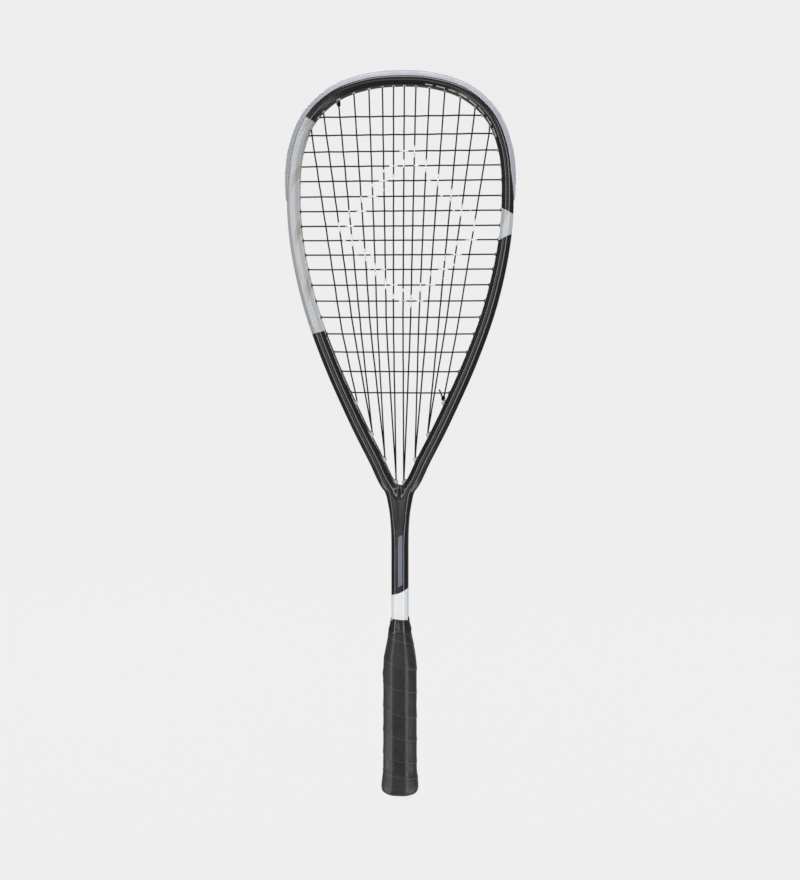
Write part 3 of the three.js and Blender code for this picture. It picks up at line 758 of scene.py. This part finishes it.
def string_path():
    """The whole string, from the top of the tie main to the foot of the last main."""
    tie_top, tie_foot = top_holes[TIE_MAIN - 1], arm_holes[RIGHT][0]
    path = [at_y(tie_top.mouth, -BYPASS), at_y(tie_top.outer, -BYPASS)]
    path += groove_run(tie_top.rail, top_holes[0].rail, -BYPASS)
    for number in range(1, MAINS + 1):
        run = main_run(number)
        path += run if number % 2 else run[::-1]
        if number == MAINS // 2:
            path += crossover_run()
        elif number < MAINS and number % 2:
            middle = (foot_y(number) + foot_y(number + 1)) / 2
            path += groove_run(main_foot(number).rail, main_foot(number + 1).rail, middle)
        elif number < MAINS:
            path += groove_run(top_holes[number - 1].rail, top_holes[number].rail, 0)
    path += groove_run(top_holes[-1].rail, cross_holes[RIGHT][0].rail, 0)
    for i in range(len(CROSS_Z)):
        run = cross_run(i)
        path += run[::-1] if i % 2 == 0 else run
        if i + 1 < len(CROSS_Z):
            side = LEFT if i % 2 == 0 else RIGHT
            y = BYPASS if i == 0 else 0
            path += groove_run(cross_holes[side][i].rail, cross_holes[side][i + 1].rail, y)
    path += groove_run(cross_holes[RIGHT][-1].rail, tie_foot.rail, -BYPASS)
    path += [at_y(tie_foot.outer, -BYPASS), at_y(tie_foot.mouth, -BYPASS)]
    return path


def round_turns(path, reach=1.3):
    """Rounds the sharp turns of a path."""
    sharp = 0.35
    result = [path[0]]
    for before, point, after in zip(path, path[1:], path[2:]):
        a, b = before - point, after - point
        size_a, size_b = np.linalg.norm(a), np.linalg.norm(b)
        if min(size_a, size_b) < 0.02:
            continue
        turn = math.pi - math.acos(np.clip(a.dot(b) / size_a / size_b, -1, 1))
        if turn < sharp:
            result.append(point)
            continue
        r = min(reach, 0.45 * size_a, 0.45 * size_b)
        result += arc(point + a / size_a * r, point, point + b / size_b * r, 5)
    result.append(path[-1])
    return result


def hitch(h, axis, tail=None):
    """Half hitches round a main at its hole: a tight coil, then the end passed under it."""
    line = at_y(h.mouth, 0)
    axis = np.asarray(axis, float)
    back = np.array([0.0, 1, 0])
    side = np.cross(axis, back)
    coil = 2 * STRING_RADIUS + 0.08
    points = [at_y(h.mouth, -BYPASS)]
    for k in range(int(COIL_TURNS * COIL_POINTS) + 1):
        a = 2 * math.pi * k / COIL_POINTS
        rise = COIL_START + COIL_RISE * k / COIL_POINTS
        points.append(line + axis * rise + coil * (math.sin(a) * side - math.cos(a) * back))
    points.append(points[-1] + axis * 0.6 + np.array([0, -1.1, 0]) - side * 0.4)
    points.append(line + np.array([0, -2.3, 0]) + axis * 2.4 + side * 0.2)
    if tail is not None:
        start = points[-1]
        points += [start + np.asarray(tail, float) * t for t in (0.25, 0.5, 0.75, 1)]
    else:
        points.append(line + np.array([0, -2.1, 0]) + axis * 0.8 + side * 1.6)
    return points


def build_string(material):
    build = Builder()
    build.tube(round_turns(string_path()), STRING_RADIUS, STRING_SIDES)
    top_knot = hitch(top_holes[TIE_MAIN - 1], (0, 0, -1))
    foot_knot = hitch(arm_holes[RIGHT][0], (0, 0, 1), tail=(-0.35 * TAIL, -0.6, 0.85 * TAIL))
    for knot in (top_knot, foot_knot):
        build.tube(round_turns(knot, 0.6), STRING_RADIUS, STRING_SIDES)
    return build.piece("string_bed", material, sharp=60, weld=0.0005)


# Handle

FRONT_FLAT = 0.47       # share of the handle's width that its front flat takes up
ROUNDNESS = 13          # how sharp the corners between its eight flats are
# Height, half width, half depth.
GRIP = [
    (0.9, 15.2, 13.3), (1.3, 16.1, 14), (2.2, 17, 14.9), (3.6, 17.8, 15.6), (7.2, 18.2, 16),
    (13, 17.7, 15.5), (18, 17, 14.9), (24, 16.5, 14.4), (57, 16.35, 14.3), (124, 16.25, 14.2),
    (130.5, 15.95, 14), (137.5, 15, 13.5), (147.4, 13.1, 12.8), (155.5, 11.6, 12.2), (162.5, 10.2, 11.2),
]
COLLAR_TAPE = [
    (159, 11, 11.85), (159.6, 11.05, 11.9), (163.5, 10.5, 11.4), (166.5, 9.8, 10.8),
    (169.5, 9.3, 10.2), (171.9, 8.9, 9.9), (172.2, 8.5, 9.5),
]
BUTT_CAP = [
    (22, 13.4, 11.2), (22, 14.9, 12.8), (12, 15.2, 13.1), (5.5, 15.5, 13.4), (2.4, 15.1, 13.1),
    (1.3, 14.8, 12.8), (0.6, 14.2, 12.2), (0.2, 13.5, 11.4), (0, 12.6, 10.5), (0, 9.4, 7.5),
    (0.15, 9.2, 7.3), (0.6, 9.05, 7.15), (0.7, 8.8, 6.9), (0.7, 3.6, 2.8), (0.6, 3.4, 2.6),
    (0.1, 3.2, 2.4), (0, 3.0, 2.2), (0, 0.4, 0.3), (3, 0.4, 0.3), (3, 13.2, 11),
]
# Heights of the grip's seam where the wrap crosses SEAM_ANGLE, turn by turn.
SEAMS = [-19, -1, 16.9, 31.9, 53.8, 76.5, 101.2, 123.7, 148.3, 170, 192, 214]
SEAM_ANGLE = -0.7
GRIP_COLUMNS = 168
GRIP_WALL = 1.2
# The wrap across its width: share of the width, and height above the layer below.
WRAP = [
    (0, -0.06), (0.003, 0.22), (0.008, 0.5), (0.02, 0.74), (0.04, 0.8), (0.07, 0.76), (0.11, 0.62),
    (0.16, 0.44), (0.22, 0.28), (0.3, 0.14), (0.4, 0.05), (0.52, 0), (0.64, 0), (0.76, 0), (0.86, 0),
    (0.93, -0.01), (0.98, -0.03),
]
FOLD_Z = 118.2          # height of the small fold on the left of the grip


def eight_sided(angle, half_width, half_depth):
    """Distance from the axis to the handle's softened eight-sided outline in a direction."""
    slant = np.array([0.58 * half_depth, 0.53 * half_width])
    slant /= np.linalg.norm(slant)
    reach = slant[0] * FRONT_FLAT * half_width + slant[1] * half_depth
    c, s = abs(np.cos(angle)), abs(np.sin(angle))
    terms = (c / half_width) ** ROUNDNESS + (s / half_depth) ** ROUNDNESS
    terms = terms + ((c * slant[0] + s * slant[1]) / reach) ** ROUNDNESS
    return terms ** (-1 / ROUNDNESS)


def profile_at(table, z, spread):
    """Half width and half depth at a height, averaged over a spread above and below it."""
    heights, widths, depths = (np.array(c, float) for c in zip(*table))
    zs = np.clip(z + spread * np.linspace(-1, 1, 5), heights[0], heights[-1])
    return np.interp(zs, heights, widths).mean(), np.interp(zs, heights, depths).mean()


def on_circle(radius, angle, z):
    return radius * math.cos(angle), radius * math.sin(angle), z


def handle_ring(z, half_width, half_depth, angles, inset=0.0):
    """A ring round the handle's eight-sided outline at one height."""
    return [on_circle(eight_sided(a, half_width, half_depth) - inset, a, z) for a in angles]


def ripple(angle, z, seed):
    """A smooth, repeatable unevenness between about -1 and 1."""
    waves = 7
    rng = np.random.default_rng(seed)
    total = 0.0
    for _ in range(waves):
        around = rng.integers(1, 7)
        up = rng.uniform(0.03, 0.5)
        total += math.sin(around * angle + up * z + rng.uniform(0, 6.28))
    return total / waves * 1.6


def grip_size(z):
    """Half width and half depth of the grip under the wrap's relief."""
    half_width, half_depth = profile_at(GRIP, z, 0.4 + 2.5 * float(smoothstep(z, 12, 20)))
    return half_width - 0.25, half_depth - 0.25


def build_grip(material):
    low, high = GRIP[0][0], GRIP[-1][0]
    per_turn = len(WRAP)
    build = Builder()
    grid = []
    for q, rise in [(turn + share, rise) for turn in range(len(SEAMS) - 2) for share, rise in WRAP]:
        line = []
        for j in range(GRIP_COLUMNS):
            share = j / GRIP_COLUMNS
            angle = SEAM_ANGLE - 2 * math.pi * share
            z = float(np.clip(np.interp(q + share, range(len(SEAMS)), SEAMS), low, high))
            inside = float(smoothstep(z, low + 3, low + 9) * (1 - smoothstep(z, high - 3, high)))
            lift = 0.42 * rise * inside + 0.09 * ripple(angle, z, 4) * inside
            fold = math.exp(-((z - FOLD_Z) / 3.4) ** 2 - ((math.cos(angle - math.pi) - 1) / 0.12) ** 2)
            radius = eight_sided(angle, *grip_size(z)) + lift + 0.8 * fold
            line.append(len(build.vertices))
            build.vertices.append(on_circle(radius, angle, z))
        grid.append(line)
    # The last column of each turn joins the first column of the next one.
    for r in range(len(grid) - per_turn - 1):
        for j in range(GRIP_COLUMNS):
            if j + 1 < GRIP_COLUMNS:
                b, c = grid[r][j + 1], grid[r + 1][j + 1]
            else:
                b, c = grid[r + per_turn][0], grid[r + per_turn + 1][0]
            build.faces.append((grid[r][j], b, c, grid[r + 1][j]))
    angles = [SEAM_ANGLE - a for a in round_angles(GRIP_COLUMNS)]
    build.sweep([
        handle_ring(z, *grip_size(z), angles, inset)
        for z, inset in [(low, 0), (low, GRIP_WALL), (high, GRIP_WALL), (high, 0)]
    ], caps=False)
    return build.piece("grip_wrap", material, sharp=50)


def build_finishing_tape(material):
    """Three layers of tape with creases, and a plain inner wall against the grip and the shaft."""
    build = Builder()
    angles = round_angles(120)
    rings = []
    for z in np.concatenate([np.linspace(159, 159.8, 4), np.linspace(160.1, 171.8, 48), [172, 172.2]]):
        half_width, half_depth = profile_at(COLLAR_TAPE, z, 0.5)
        ring = []
        for angle in angles:
            first_edge = 163.7 + 0.9 * math.sin(angle + 1)
            second_edge = 167.9 - 1.1 * math.sin(angle)
            layer = 0.28 * float(smoothstep(z, first_edge, first_edge + 0.3))
            second = 0.22 * float(smoothstep(z, second_edge, second_edge + 0.3))
            crease = 0.2 * ripple(angle * 2, z * 2.3, 11) + 0.1 * ripple(angle * 3, z * 5, 12)
            inside = float(smoothstep(z, 159, 160) * (1 - smoothstep(z, 171.4, 172.2)))
            top = 0.5 * math.sin(angle * 2 + 0.6) * float(smoothstep(z, 168.5, 172.2))
            radius = eight_sided(angle, half_width - 0.15, half_depth - 0.15)
            radius += inside * (0.7 * crease - 0.6 * layer - 0.6 * second + 0.2)
            ring.append(on_circle(radius, angle, z + top))
        rings.append(ring)
    for row in [(171.7, 8.1, 9.1), (161.5, 9.7, 10.6), (159.2, 10.4, 11.2)]:
        rings.append(handle_ring(*row, angles))
    build.sweep(rings, closed_path=True)
    return build.piece("finishing_tape_wrap", material, sharp=60)


def build_butt_cap(material):
    build = Builder()
    build.sweep([handle_ring(*row, round_angles(128)) for row in BUTT_CAP], closed_path=True)
    return build.piece("butt_cap_moulding", material, sharp=40)


# Materials

class Nodes:
    """A procedural material, built around one Principled shader."""

    def __init__(self, name, **constants):
        self.material = bpy.data.materials.new(name)
        self.material.use_nodes = True
        self.tree = self.material.node_tree
        self.shader = self.tree.nodes["Principled BSDF"]
        for socket, value in constants.items():
            self.shader.inputs[socket.replace("_", " ")].default_value = value
        self.place = self.tree.nodes.new("ShaderNodeTexCoord").outputs["Object"]

    def node(self, kind, inputs=None, **settings):
        node = self.tree.nodes.new("ShaderNode" + kind)
        for key, value in settings.items():
            setattr(node, key, value)
        for key, value in (inputs or {}).items():
            if isinstance(value, bpy.types.NodeSocket):
                self.tree.links.new(value, node.inputs[key])
            else:
                node.inputs[key].default_value = value
        return node

    def noise(self, scale, detail, roughness=0.55, place=None, distortion=0.0):
        return self.node("TexNoise", {
            "Vector": place or self.place, "Scale": scale, "Detail": detail, "Roughness": roughness,
            "Distortion": distortion,
        }).outputs["Fac"]

    def stretched(self, scale, rotation=(0, 0, 0)):
        inputs = {"Vector": self.place, "Scale": scale, "Rotation": rotation}
        return self.node("Mapping", inputs).outputs["Vector"]

    def axes(self):
        return self.node("SeparateXYZ", {0: self.place}).outputs

    def math(self, operation, a, b=0.0, c=0.0):
        return self.node("Math", {0: a, 1: b, 2: c}, operation=operation).outputs[0]

    def times(self, a, b):
        return self.math("MULTIPLY", a, b)

    def minus(self, a, b):
        return self.math("SUBTRACT", a, b)

    def size(self, a):
        return self.math("ABSOLUTE", a)

    def remap(self, value, low, high, to_low=0.0, to_high=1.0):
        inputs = {"Value": value, "From Min": low, "From Max": high, "To Min": to_low, "To Max": to_high}
        return self.node("MapRange", inputs, interpolation_type="SMOOTHSTEP").outputs[0]

    def mix(self, factor, a, b):
        a, b = (c if isinstance(c, bpy.types.NodeSocket) else (*c, 1) for c in (a, b))
        return self.node("Mix", {0: factor, 6: a, 7: b}, data_type="RGBA").outputs[2]

    def drive(self, name, socket):
        self.tree.links.new(socket, self.shader.inputs[name])

    def colour(self, socket):
        self.drive("Base Color", socket)

    def roughness(self, pattern, low, high, span=(0.3, 0.7)):
        """Roughness between low and high, where a pattern goes from one end of a span to the other."""
        self.drive("Roughness", self.remap(pattern, *span, low, high))

    def bump(self, height, distance, strength=1.0, after=None):
        inputs = {"Height": height, "Distance": distance, "Strength": strength}
        if after is not None:
            inputs["Normal"] = after
        normal = self.node("Bump", inputs).outputs["Normal"]
        self.drive("Normal", normal)
        return normal


# A plain bar on the shaft's front, in metres: middle, half width, ends and lean of the ends.
BAR_X = 0.001
BAR_HALF_WIDTH = 0.0021
BAR_Z = (0.204, 0.252)
BAR_LEAN = -0.5


def lacquer():
    """Satin lacquer over moulded carbon: a faint weave under it, a slight unevenness and the bar."""
    n = Nodes("carbon_lacquer", Coat_Weight=0.25, Coat_Roughness=0.15, Specular_IOR_Level=0.5)
    weave = n.node("TexWave", {
        "Vector": n.stretched((1, 1, 1), (0, 0.785, 0)), "Scale": 620.0, "Distortion": 0.4, "Detail": 1.0,
    }, bands_direction="X").outputs["Fac"]
    cloud = n.times(n.noise(34, 3), n.remap(weave, 0.2, 0.8, 0.7, 1))
    body = n.mix(cloud, (0.005, 0.005, 0.006), (0.012, 0.0125, 0.014))
    x, y, z = n.axes()
    height = n.math("ADD", z, n.times(x, BAR_LEAN))
    bar = n.math("LESS_THAN", n.size(n.minus(x, BAR_X)), BAR_HALF_WIDTH)
    bar = n.times(bar, n.math("GREATER_THAN", height, BAR_Z[0]))
    bar = n.times(bar, n.math("LESS_THAN", height, BAR_Z[1]))
    bar = n.times(bar, n.math("LESS_THAN", y, -0.007))
    n.colour(n.mix(bar, body, (0.13, 0.145, 0.19)))
    n.roughness(n.noise(60, 2), 0.21, 0.27)
    n.bump(n.noise(45, 1), 0.00003, 0.15)
    return n.material


HOOP_MIDDLE = 0.54      # height in metres that the curve of the opening's edge is fitted about


def edge_curve():
    """The opening's half width as a polynomial of height in metres, highest power first."""
    points = np.array([opening.at(t) for t in np.linspace(3.2, 8.2, 60)]) * MM
    return [float(c) for c in np.polyfit(points[:, 1] - HOOP_MIDDLE, points[:, 0], 4)]


def across(n):
    """Distance outward from the opening's edge on the sides of the hoop, and height."""
    x, y, z = n.axes()
    offset = n.minus(z, HOOP_MIDDLE)
    total = 0.0
    for c in edge_curve():
        total = n.math("MULTIPLY_ADD", total, offset, c)
    return n.minus(n.size(x), total), z


# Slanted patches of the pearl, in metres: lowest one, distance between them, lean, reach outward.
SLASH_Z = 0.492
SLASH_PERIOD = 0.0515
SLASH_LEAN = 2.2
SLASH_REACH = 0.0085
SLASH_HALF = 0.13       # half of a patch, as a share of the distance between them


def slashes(n, out, z):
    """Slanted patches that start at the opening's edge and thin out before the outer one."""
    turn = n.math("DIVIDE", n.minus(n.math("MULTIPLY_ADD", out, SLASH_LEAN, z), SLASH_Z), SLASH_PERIOD)
    share = n.minus(n.math("FRACT", n.math("ADD", turn, 0.5)), 0.5)
    patch = n.remap(n.size(share), SLASH_HALF * 0.75, SLASH_HALF * 1.25, 1, 0)
    return n.times(patch, n.remap(out, SLASH_REACH * 0.35, SLASH_REACH, 1, 0))


def pearl():
    """Silver-white pearl with soft slanted patches of beige."""
    n = Nodes("pearl_lacquer", Coat_Weight=0.2, Coat_Roughness=0.3)
    cloud = n.remap(n.noise(14, 2, 0.5, distortion=0.3), 0.3, 0.7)
    out, z = across(n)
    base = n.mix(cloud, (0.38, 0.39, 0.4), (0.42, 0.425, 0.435))
    base = n.mix(n.times(n.remap(out, 0.006, 0.0115), 0.6), base, (0.28, 0.3, 0.335))
    n.colour(n.mix(n.times(slashes(n, out, z), 0.8), base, (0.3, 0.295, 0.262)))
    n.roughness(n.noise(420, 4), 0.34, 0.46)
    n.bump(n.noise(1500, 2), 0.00002, 0.2)
    return n.material


def white_paint(name, light, tint):
    """Glossy paint; tint is the strength of a beige corner on the right of the hoop."""
    n = Nodes(name, Coat_Weight=0.3, Coat_Roughness=0.22)
    base = n.mix(n.remap(n.noise(40, 3), 0.35, 0.75), light, [0.96 * c for c in light])
    out, z = across(n)
    corner = n.remap(n.math("MULTIPLY_ADD", out, -2.0, z), 0.5375, 0.5405)
    n.colour(n.mix(n.times(corner, tint), base, (0.38, 0.385, 0.34)))
    n.roughness(n.noise(300, 4), 0.26, 0.4)
    n.bump(n.noise(1200, 3), 0.00003, 0.35)
    return n.material


def moulded(name, dark, light, low, high, grain=1400, **constants):
    """Moulded plastic: fine spark-eroded grain, faint flow marks and scuffs."""
    n = Nodes(name, **constants)
    flow = n.noise(26, 3, place=n.stretched((1, 1, 0.35)))
    n.colour(n.mix(n.remap(flow, 0.3, 0.7), dark, light))
    n.roughness(n.noise(180, 6, 0.7), low, high)
    n.bump(n.noise(grain, 3), 0.00005, 0.5)
    return n.material


# The mark printed on the strings, in metres as (x, z).
MARK_CENTRE = (0.009, 0.541)
MARK_HALF = (0.072, 0.082)
MARK_LINE = 0.12        # half the width of the mark's line, as a share of the mark


def string_material():
    """Black polyester string with a fine twist, and a plain diamond printed on the strings in white."""
    n = Nodes("string_polyester", Specular_IOR_Level=0.14)
    x, y, z = n.axes()
    sideways = n.size(n.times(n.minus(x, MARK_CENTRE[0]), 1 / MARK_HALF[0]))
    upward = n.size(n.times(n.minus(z, MARK_CENTRE[1]), 1 / MARK_HALF[1]))
    ring = n.size(n.minus(n.math("ADD", sideways, upward), 1 - MARK_LINE))
    outline = n.math("LESS_THAN", ring, MARK_LINE)
    face = n.remap(n.size(y), 0.0006, 0.0009)
    worn = n.remap(n.noise(700, 4, 0.7), 0.36, 0.5)
    ink = n.times(n.times(outline, face), worn)
    twist = n.noise(900, 3, place=n.stretched((1, 1, 0.6), (0.5, 0.4, 0)))
    body = n.mix(twist, (0.002, 0.002, 0.0022), (0.005, 0.005, 0.0055))
    n.colour(n.mix(ink, body, (0.78, 0.79, 0.8)))
    n.roughness(n.noise(400, 4), 0.3, 0.5)
    n.bump(twist, 0.00006, 0.6)
    return n.material


def grip_material():
    """Soft polyurethane: tiny pores, a slight bloom, and raised edges painted lighter, partly as wear and
    partly as a painted highlight.
    """
    n = Nodes("grip_polyurethane", Sheen_Weight=0.12, Sheen_Roughness=0.5, Specular_IOR_Level=0.42)
    bloom = n.remap(n.noise(38, 4, 0.6), 0.32, 0.7)
    pores = n.node("TexVoronoi", {"Vector": n.place, "Scale": 1150.0}, feature="F1").outputs["Distance"]
    pits = n.remap(pores, 0.1, 0.34)
    base = n.mix(bloom, (0.01, 0.01, 0.01), (0.017, 0.017, 0.0155))
    # Convex edges, such as the lips of the seams, are painted lighter: partly edge wear, partly a painted
    # highlight where they catch the light.
    raised = n.remap(n.node("NewGeometry").outputs["Pointiness"], 0.503, 0.54)
    wear_and_highlight = n.mix(n.times(raised, 0.7), base, (0.1, 0.1, 0.095))
    n.colour(n.mix(n.times(n.minus(1.0, pits), 0.5), wear_and_highlight, (0.008, 0.008, 0.008)))
    n.roughness(n.noise(150, 5), 0.33, 0.46)
    soft = n.bump(n.noise(120, 4, 0.6), 0.0005, 0.22)
    n.bump(pits, 0.00012, 0.4, after=soft)
    return n.material


def tape_material():
    n = Nodes("finishing_vinyl", Coat_Weight=0.3, Coat_Roughness=0.2)
    crease = n.noise(210, 5, 0.6, place=n.stretched((1, 1, 2.4)), distortion=0.8)
    n.colour(n.mix(crease, (0.006, 0.006, 0.007), (0.016, 0.016, 0.018)))
    n.roughness(n.noise(320, 4), 0.2, 0.36)
    n.bump(crease, 0.0003, 0.25)
    return n.material


def foam_material():
    n = Nodes("pallet_foam", Roughness=0.9)
    cells = n.node("TexVoronoi", {"Vector": n.place, "Scale": 900.0}).outputs["Distance"]
    n.colour(n.mix(cells, (0.42, 0.34, 0.2), (0.6, 0.52, 0.36)))
    n.roughness(cells, 0.95, 0.8, span=(0, 0.6))
    n.bump(cells, 0.0003, 0.6)
    return n.material


def steel_material():
    n = Nodes("staple_steel", Metallic=1.0)
    drawn = n.noise(500, 4, place=n.stretched((0.1, 1, 1)))
    n.colour(n.mix(drawn, (0.5, 0.51, 0.52), (0.68, 0.69, 0.7)))
    n.roughness(drawn, 0.24, 0.42)
    n.bump(drawn, 0.00003, 0.4)
    return n.material


# Camera

VIEW_AZIMUTH = math.radians(5)
VIEW_ELEVATION = math.radians(5)
VIEW_DISTANCE = 1.2
VIEW_AIM = Vector((0, 0, 0.343))


def make_camera():
    data = bpy.data.cameras.new("camera")
    data.sensor_width = 36
    data.lens = 51.85
    camera = bpy.data.objects.new("camera", data)
    bpy.context.scene.collection.objects.link(camera)
    flat = math.cos(VIEW_ELEVATION)
    offset = Vector((
        math.sin(VIEW_AZIMUTH) * flat, -math.cos(VIEW_AZIMUTH) * flat, math.sin(VIEW_ELEVATION),
    ))
    camera.location = VIEW_AIM + offset * VIEW_DISTANCE
    camera.rotation_euler = (-offset).to_track_quat("-Z", "Y").to_euler()
    bpy.context.scene.camera = camera


make_camera()


# Assembly

SHAFT_LOW = ((-8, 168), (8, 168))
REGIONS = [
    Region(((-83, 442.6), (-71.7, 445.8)), ((-87.6, 643.9), (-79.9, 639.4)), LEFT, SILVER),
    Region(((105.3, 535.6), (93.9, 530.1)), ((105.2, 553), (93.9, 559.2)), RIGHT, BAND),
    Region(SHAFT_LOW, ((-7.8, 195.3), (0, 197.5)), LEFT, WHITE),
    Region(SHAFT_LOW, ((0, 197.5), (7.8, 201.8)), RIGHT, WHITE),
]


def place(piece, slot, *nodes):
    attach(piece, "root")
    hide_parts(*nodes)


shell = build_frame([
    lacquer(),
    pearl(),
    white_paint("white_paint", (0.66, 0.68, 0.7), 0),
    white_paint("band_paint", (0.45, 0.475, 0.49), 0.8),
])
paint(shell, REGIONS)
place(shell, "frame", "frame")

guard = moulded(
    "bumper_nylon", (0.35, 0.365, 0.4), (0.43, 0.445, 0.485), 0.3, 0.46, Transmission_Weight=0.1,
    Specular_IOR_Level=0.5,
)
place(build_bumper(guard), "bumper", "bumper_guard")

nylon = moulded("grommet_nylon", (0.008, 0.008, 0.009), (0.018, 0.018, 0.02), 0.34, 0.5)
for label, side in SIDES.items():
    strip = build_strip(side, f"grommet_strip_moulding_{label}", nylon)
    place(strip, "nylon", f"grommet_strip_{label}")

clear = moulded(
    "clear_nylon", (0.74, 0.76, 0.78), (0.84, 0.85, 0.86), 0.16, 0.3, Transmission_Weight=0.55, IOR=1.5,
)
for label, side in SIDES.items():
    for rank in range(ARM_HOLES):
        part = build_throat_grommet(side, rank, f"throat_liner_{label}_{rank + 1}", clear)
        place(part, "clear_grommet", f"throat_grommet_{label}_{rank + 1}")
place(build_crossover(clear), "clear_grommet", "throat_crossover_grommet")

place(build_string(string_material()), "string", "string")
place(build_grip(grip_material()), "grip", "grip_tape")
place(build_finishing_tape(tape_material()), "tape", "grip_finishing_tape")
cap = moulded("butt_cap_plastic", (0.012, 0.012, 0.012), (0.024, 0.024, 0.023), 0.4, 0.58, grain=1100)
place(build_butt_cap(cap), "butt_cap", "butt_cap")


def refinish(node, material):
    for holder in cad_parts[node].material_slots:
        holder.material = material


refinish("handle_foam", foam_material())
staple_steel = steel_material()
refinish("butt_cap_staple_front", staple_steel)
refinish("butt_cap_staple_back", staple_steel)


# Floor and light

# In millimetres: the flat floor's radius, the curve between floor and wall, and the wall's top.
FLOOR_RADIUS = 3400
FLOOR_CURVE = 1200
WALL_TOP = 3600
FLOOR_DROP = 0.2        # how far the floor lies below the butt


def stage_material():
    """Paper that glows evenly and takes almost no light."""
    n = Nodes("studio_paper", Roughness=0.95, Specular_IOR_Level=0.1)
    n.colour(n.mix(n.noise(6, 3), (0.0006, 0.0006, 0.0006), (0.0008, 0.0008, 0.0008)))
    n.shader.inputs["Emission Color"].default_value = (1, 1, 1, 1)
    n.shader.inputs["Emission Strength"].default_value = 0.85
    return n.material


def build_stage():
    """A floor that curves up into a wall on every side."""
    build = Builder()
    profile = [(1, 0), (FLOOR_RADIUS, 0)]
    for a in np.linspace(0.1, math.pi / 2, 12):
        profile.append((FLOOR_RADIUS + FLOOR_CURVE * math.sin(a), FLOOR_CURVE * (1 - math.cos(a))))
    profile.append((FLOOR_RADIUS + FLOOR_CURVE, WALL_TOP))
    angles = round_angles(64)
    build.sweep([[on_circle(r, a, z - FLOOR_DROP) for a in angles] for r, z in profile], caps=False)
    paper = build.piece("studio_floor", stage_material(), sharp=80)
    paper.visible_glossy = False
    paper.visible_diffuse = False
    paper.visible_shadow = False


# Place, height aimed at on the racket's axis, size, power.
SOFT_LIGHTS = {
    "left_softbox": ((-1.2, -1.1, 0.25), 0.3, (0.45, 2.6), 21),
    "right_softbox": ((1.15, -1.2, 0.25), 0.3, (0.6, 2.6), 25),
    "front_softbox": ((-0.3, -1.9, 0.35), 0.35, (0.5, 1.0), 3),
    "grip_left_softbox": ((-0.6, -0.08, -0.25), 0.1, (0.2, 0.3), 1.05),
    "grip_right_softbox": ((0.6, -0.12, -0.3), 0.1, (0.2, 0.3), 0.9),
    "top_softbox": ((0, -0.45, 1.9), 0.5, (1.2, 0.5), 14),
    "back_softbox": ((-0.9, 1.4, 1.25), 0.4, (0.5, 1.0), 12),
    "back_right_softbox": ((1.0, 1.3, 1.2), 0.4, (0.4, 1.0), 12),
    "back_top_softbox": ((0, 1.2, 1.9), 0.45, (1.2, 0.5), 8),
}


def soft_light(name, location, aim_z, size, power):
    data = bpy.data.lights.new(name, "AREA")
    data.shape = "RECTANGLE"
    data.size, data.size_y = size
    data.energy = power
    light = bpy.data.objects.new(name, data)
    bpy.context.scene.collection.objects.link(light)
    light.location = location
    light.rotation_euler = (Vector(location) - Vector((0, 0, aim_z))).to_track_quat("Z", "Y").to_euler()


def build_light():
    world = bpy.data.worlds.new("studio")
    bpy.context.scene.world = world
    world.use_nodes = True
    background = world.node_tree.nodes["Background"]
    background.inputs["Color"].default_value = (1, 1, 1, 1)
    background.inputs["Strength"].default_value = 0.14
    for name, settings in SOFT_LIGHTS.items():
        soft_light(name, *settings)


build_stage()
build_light()
bpy.context.scene.view_settings.view_transform = "Standard"
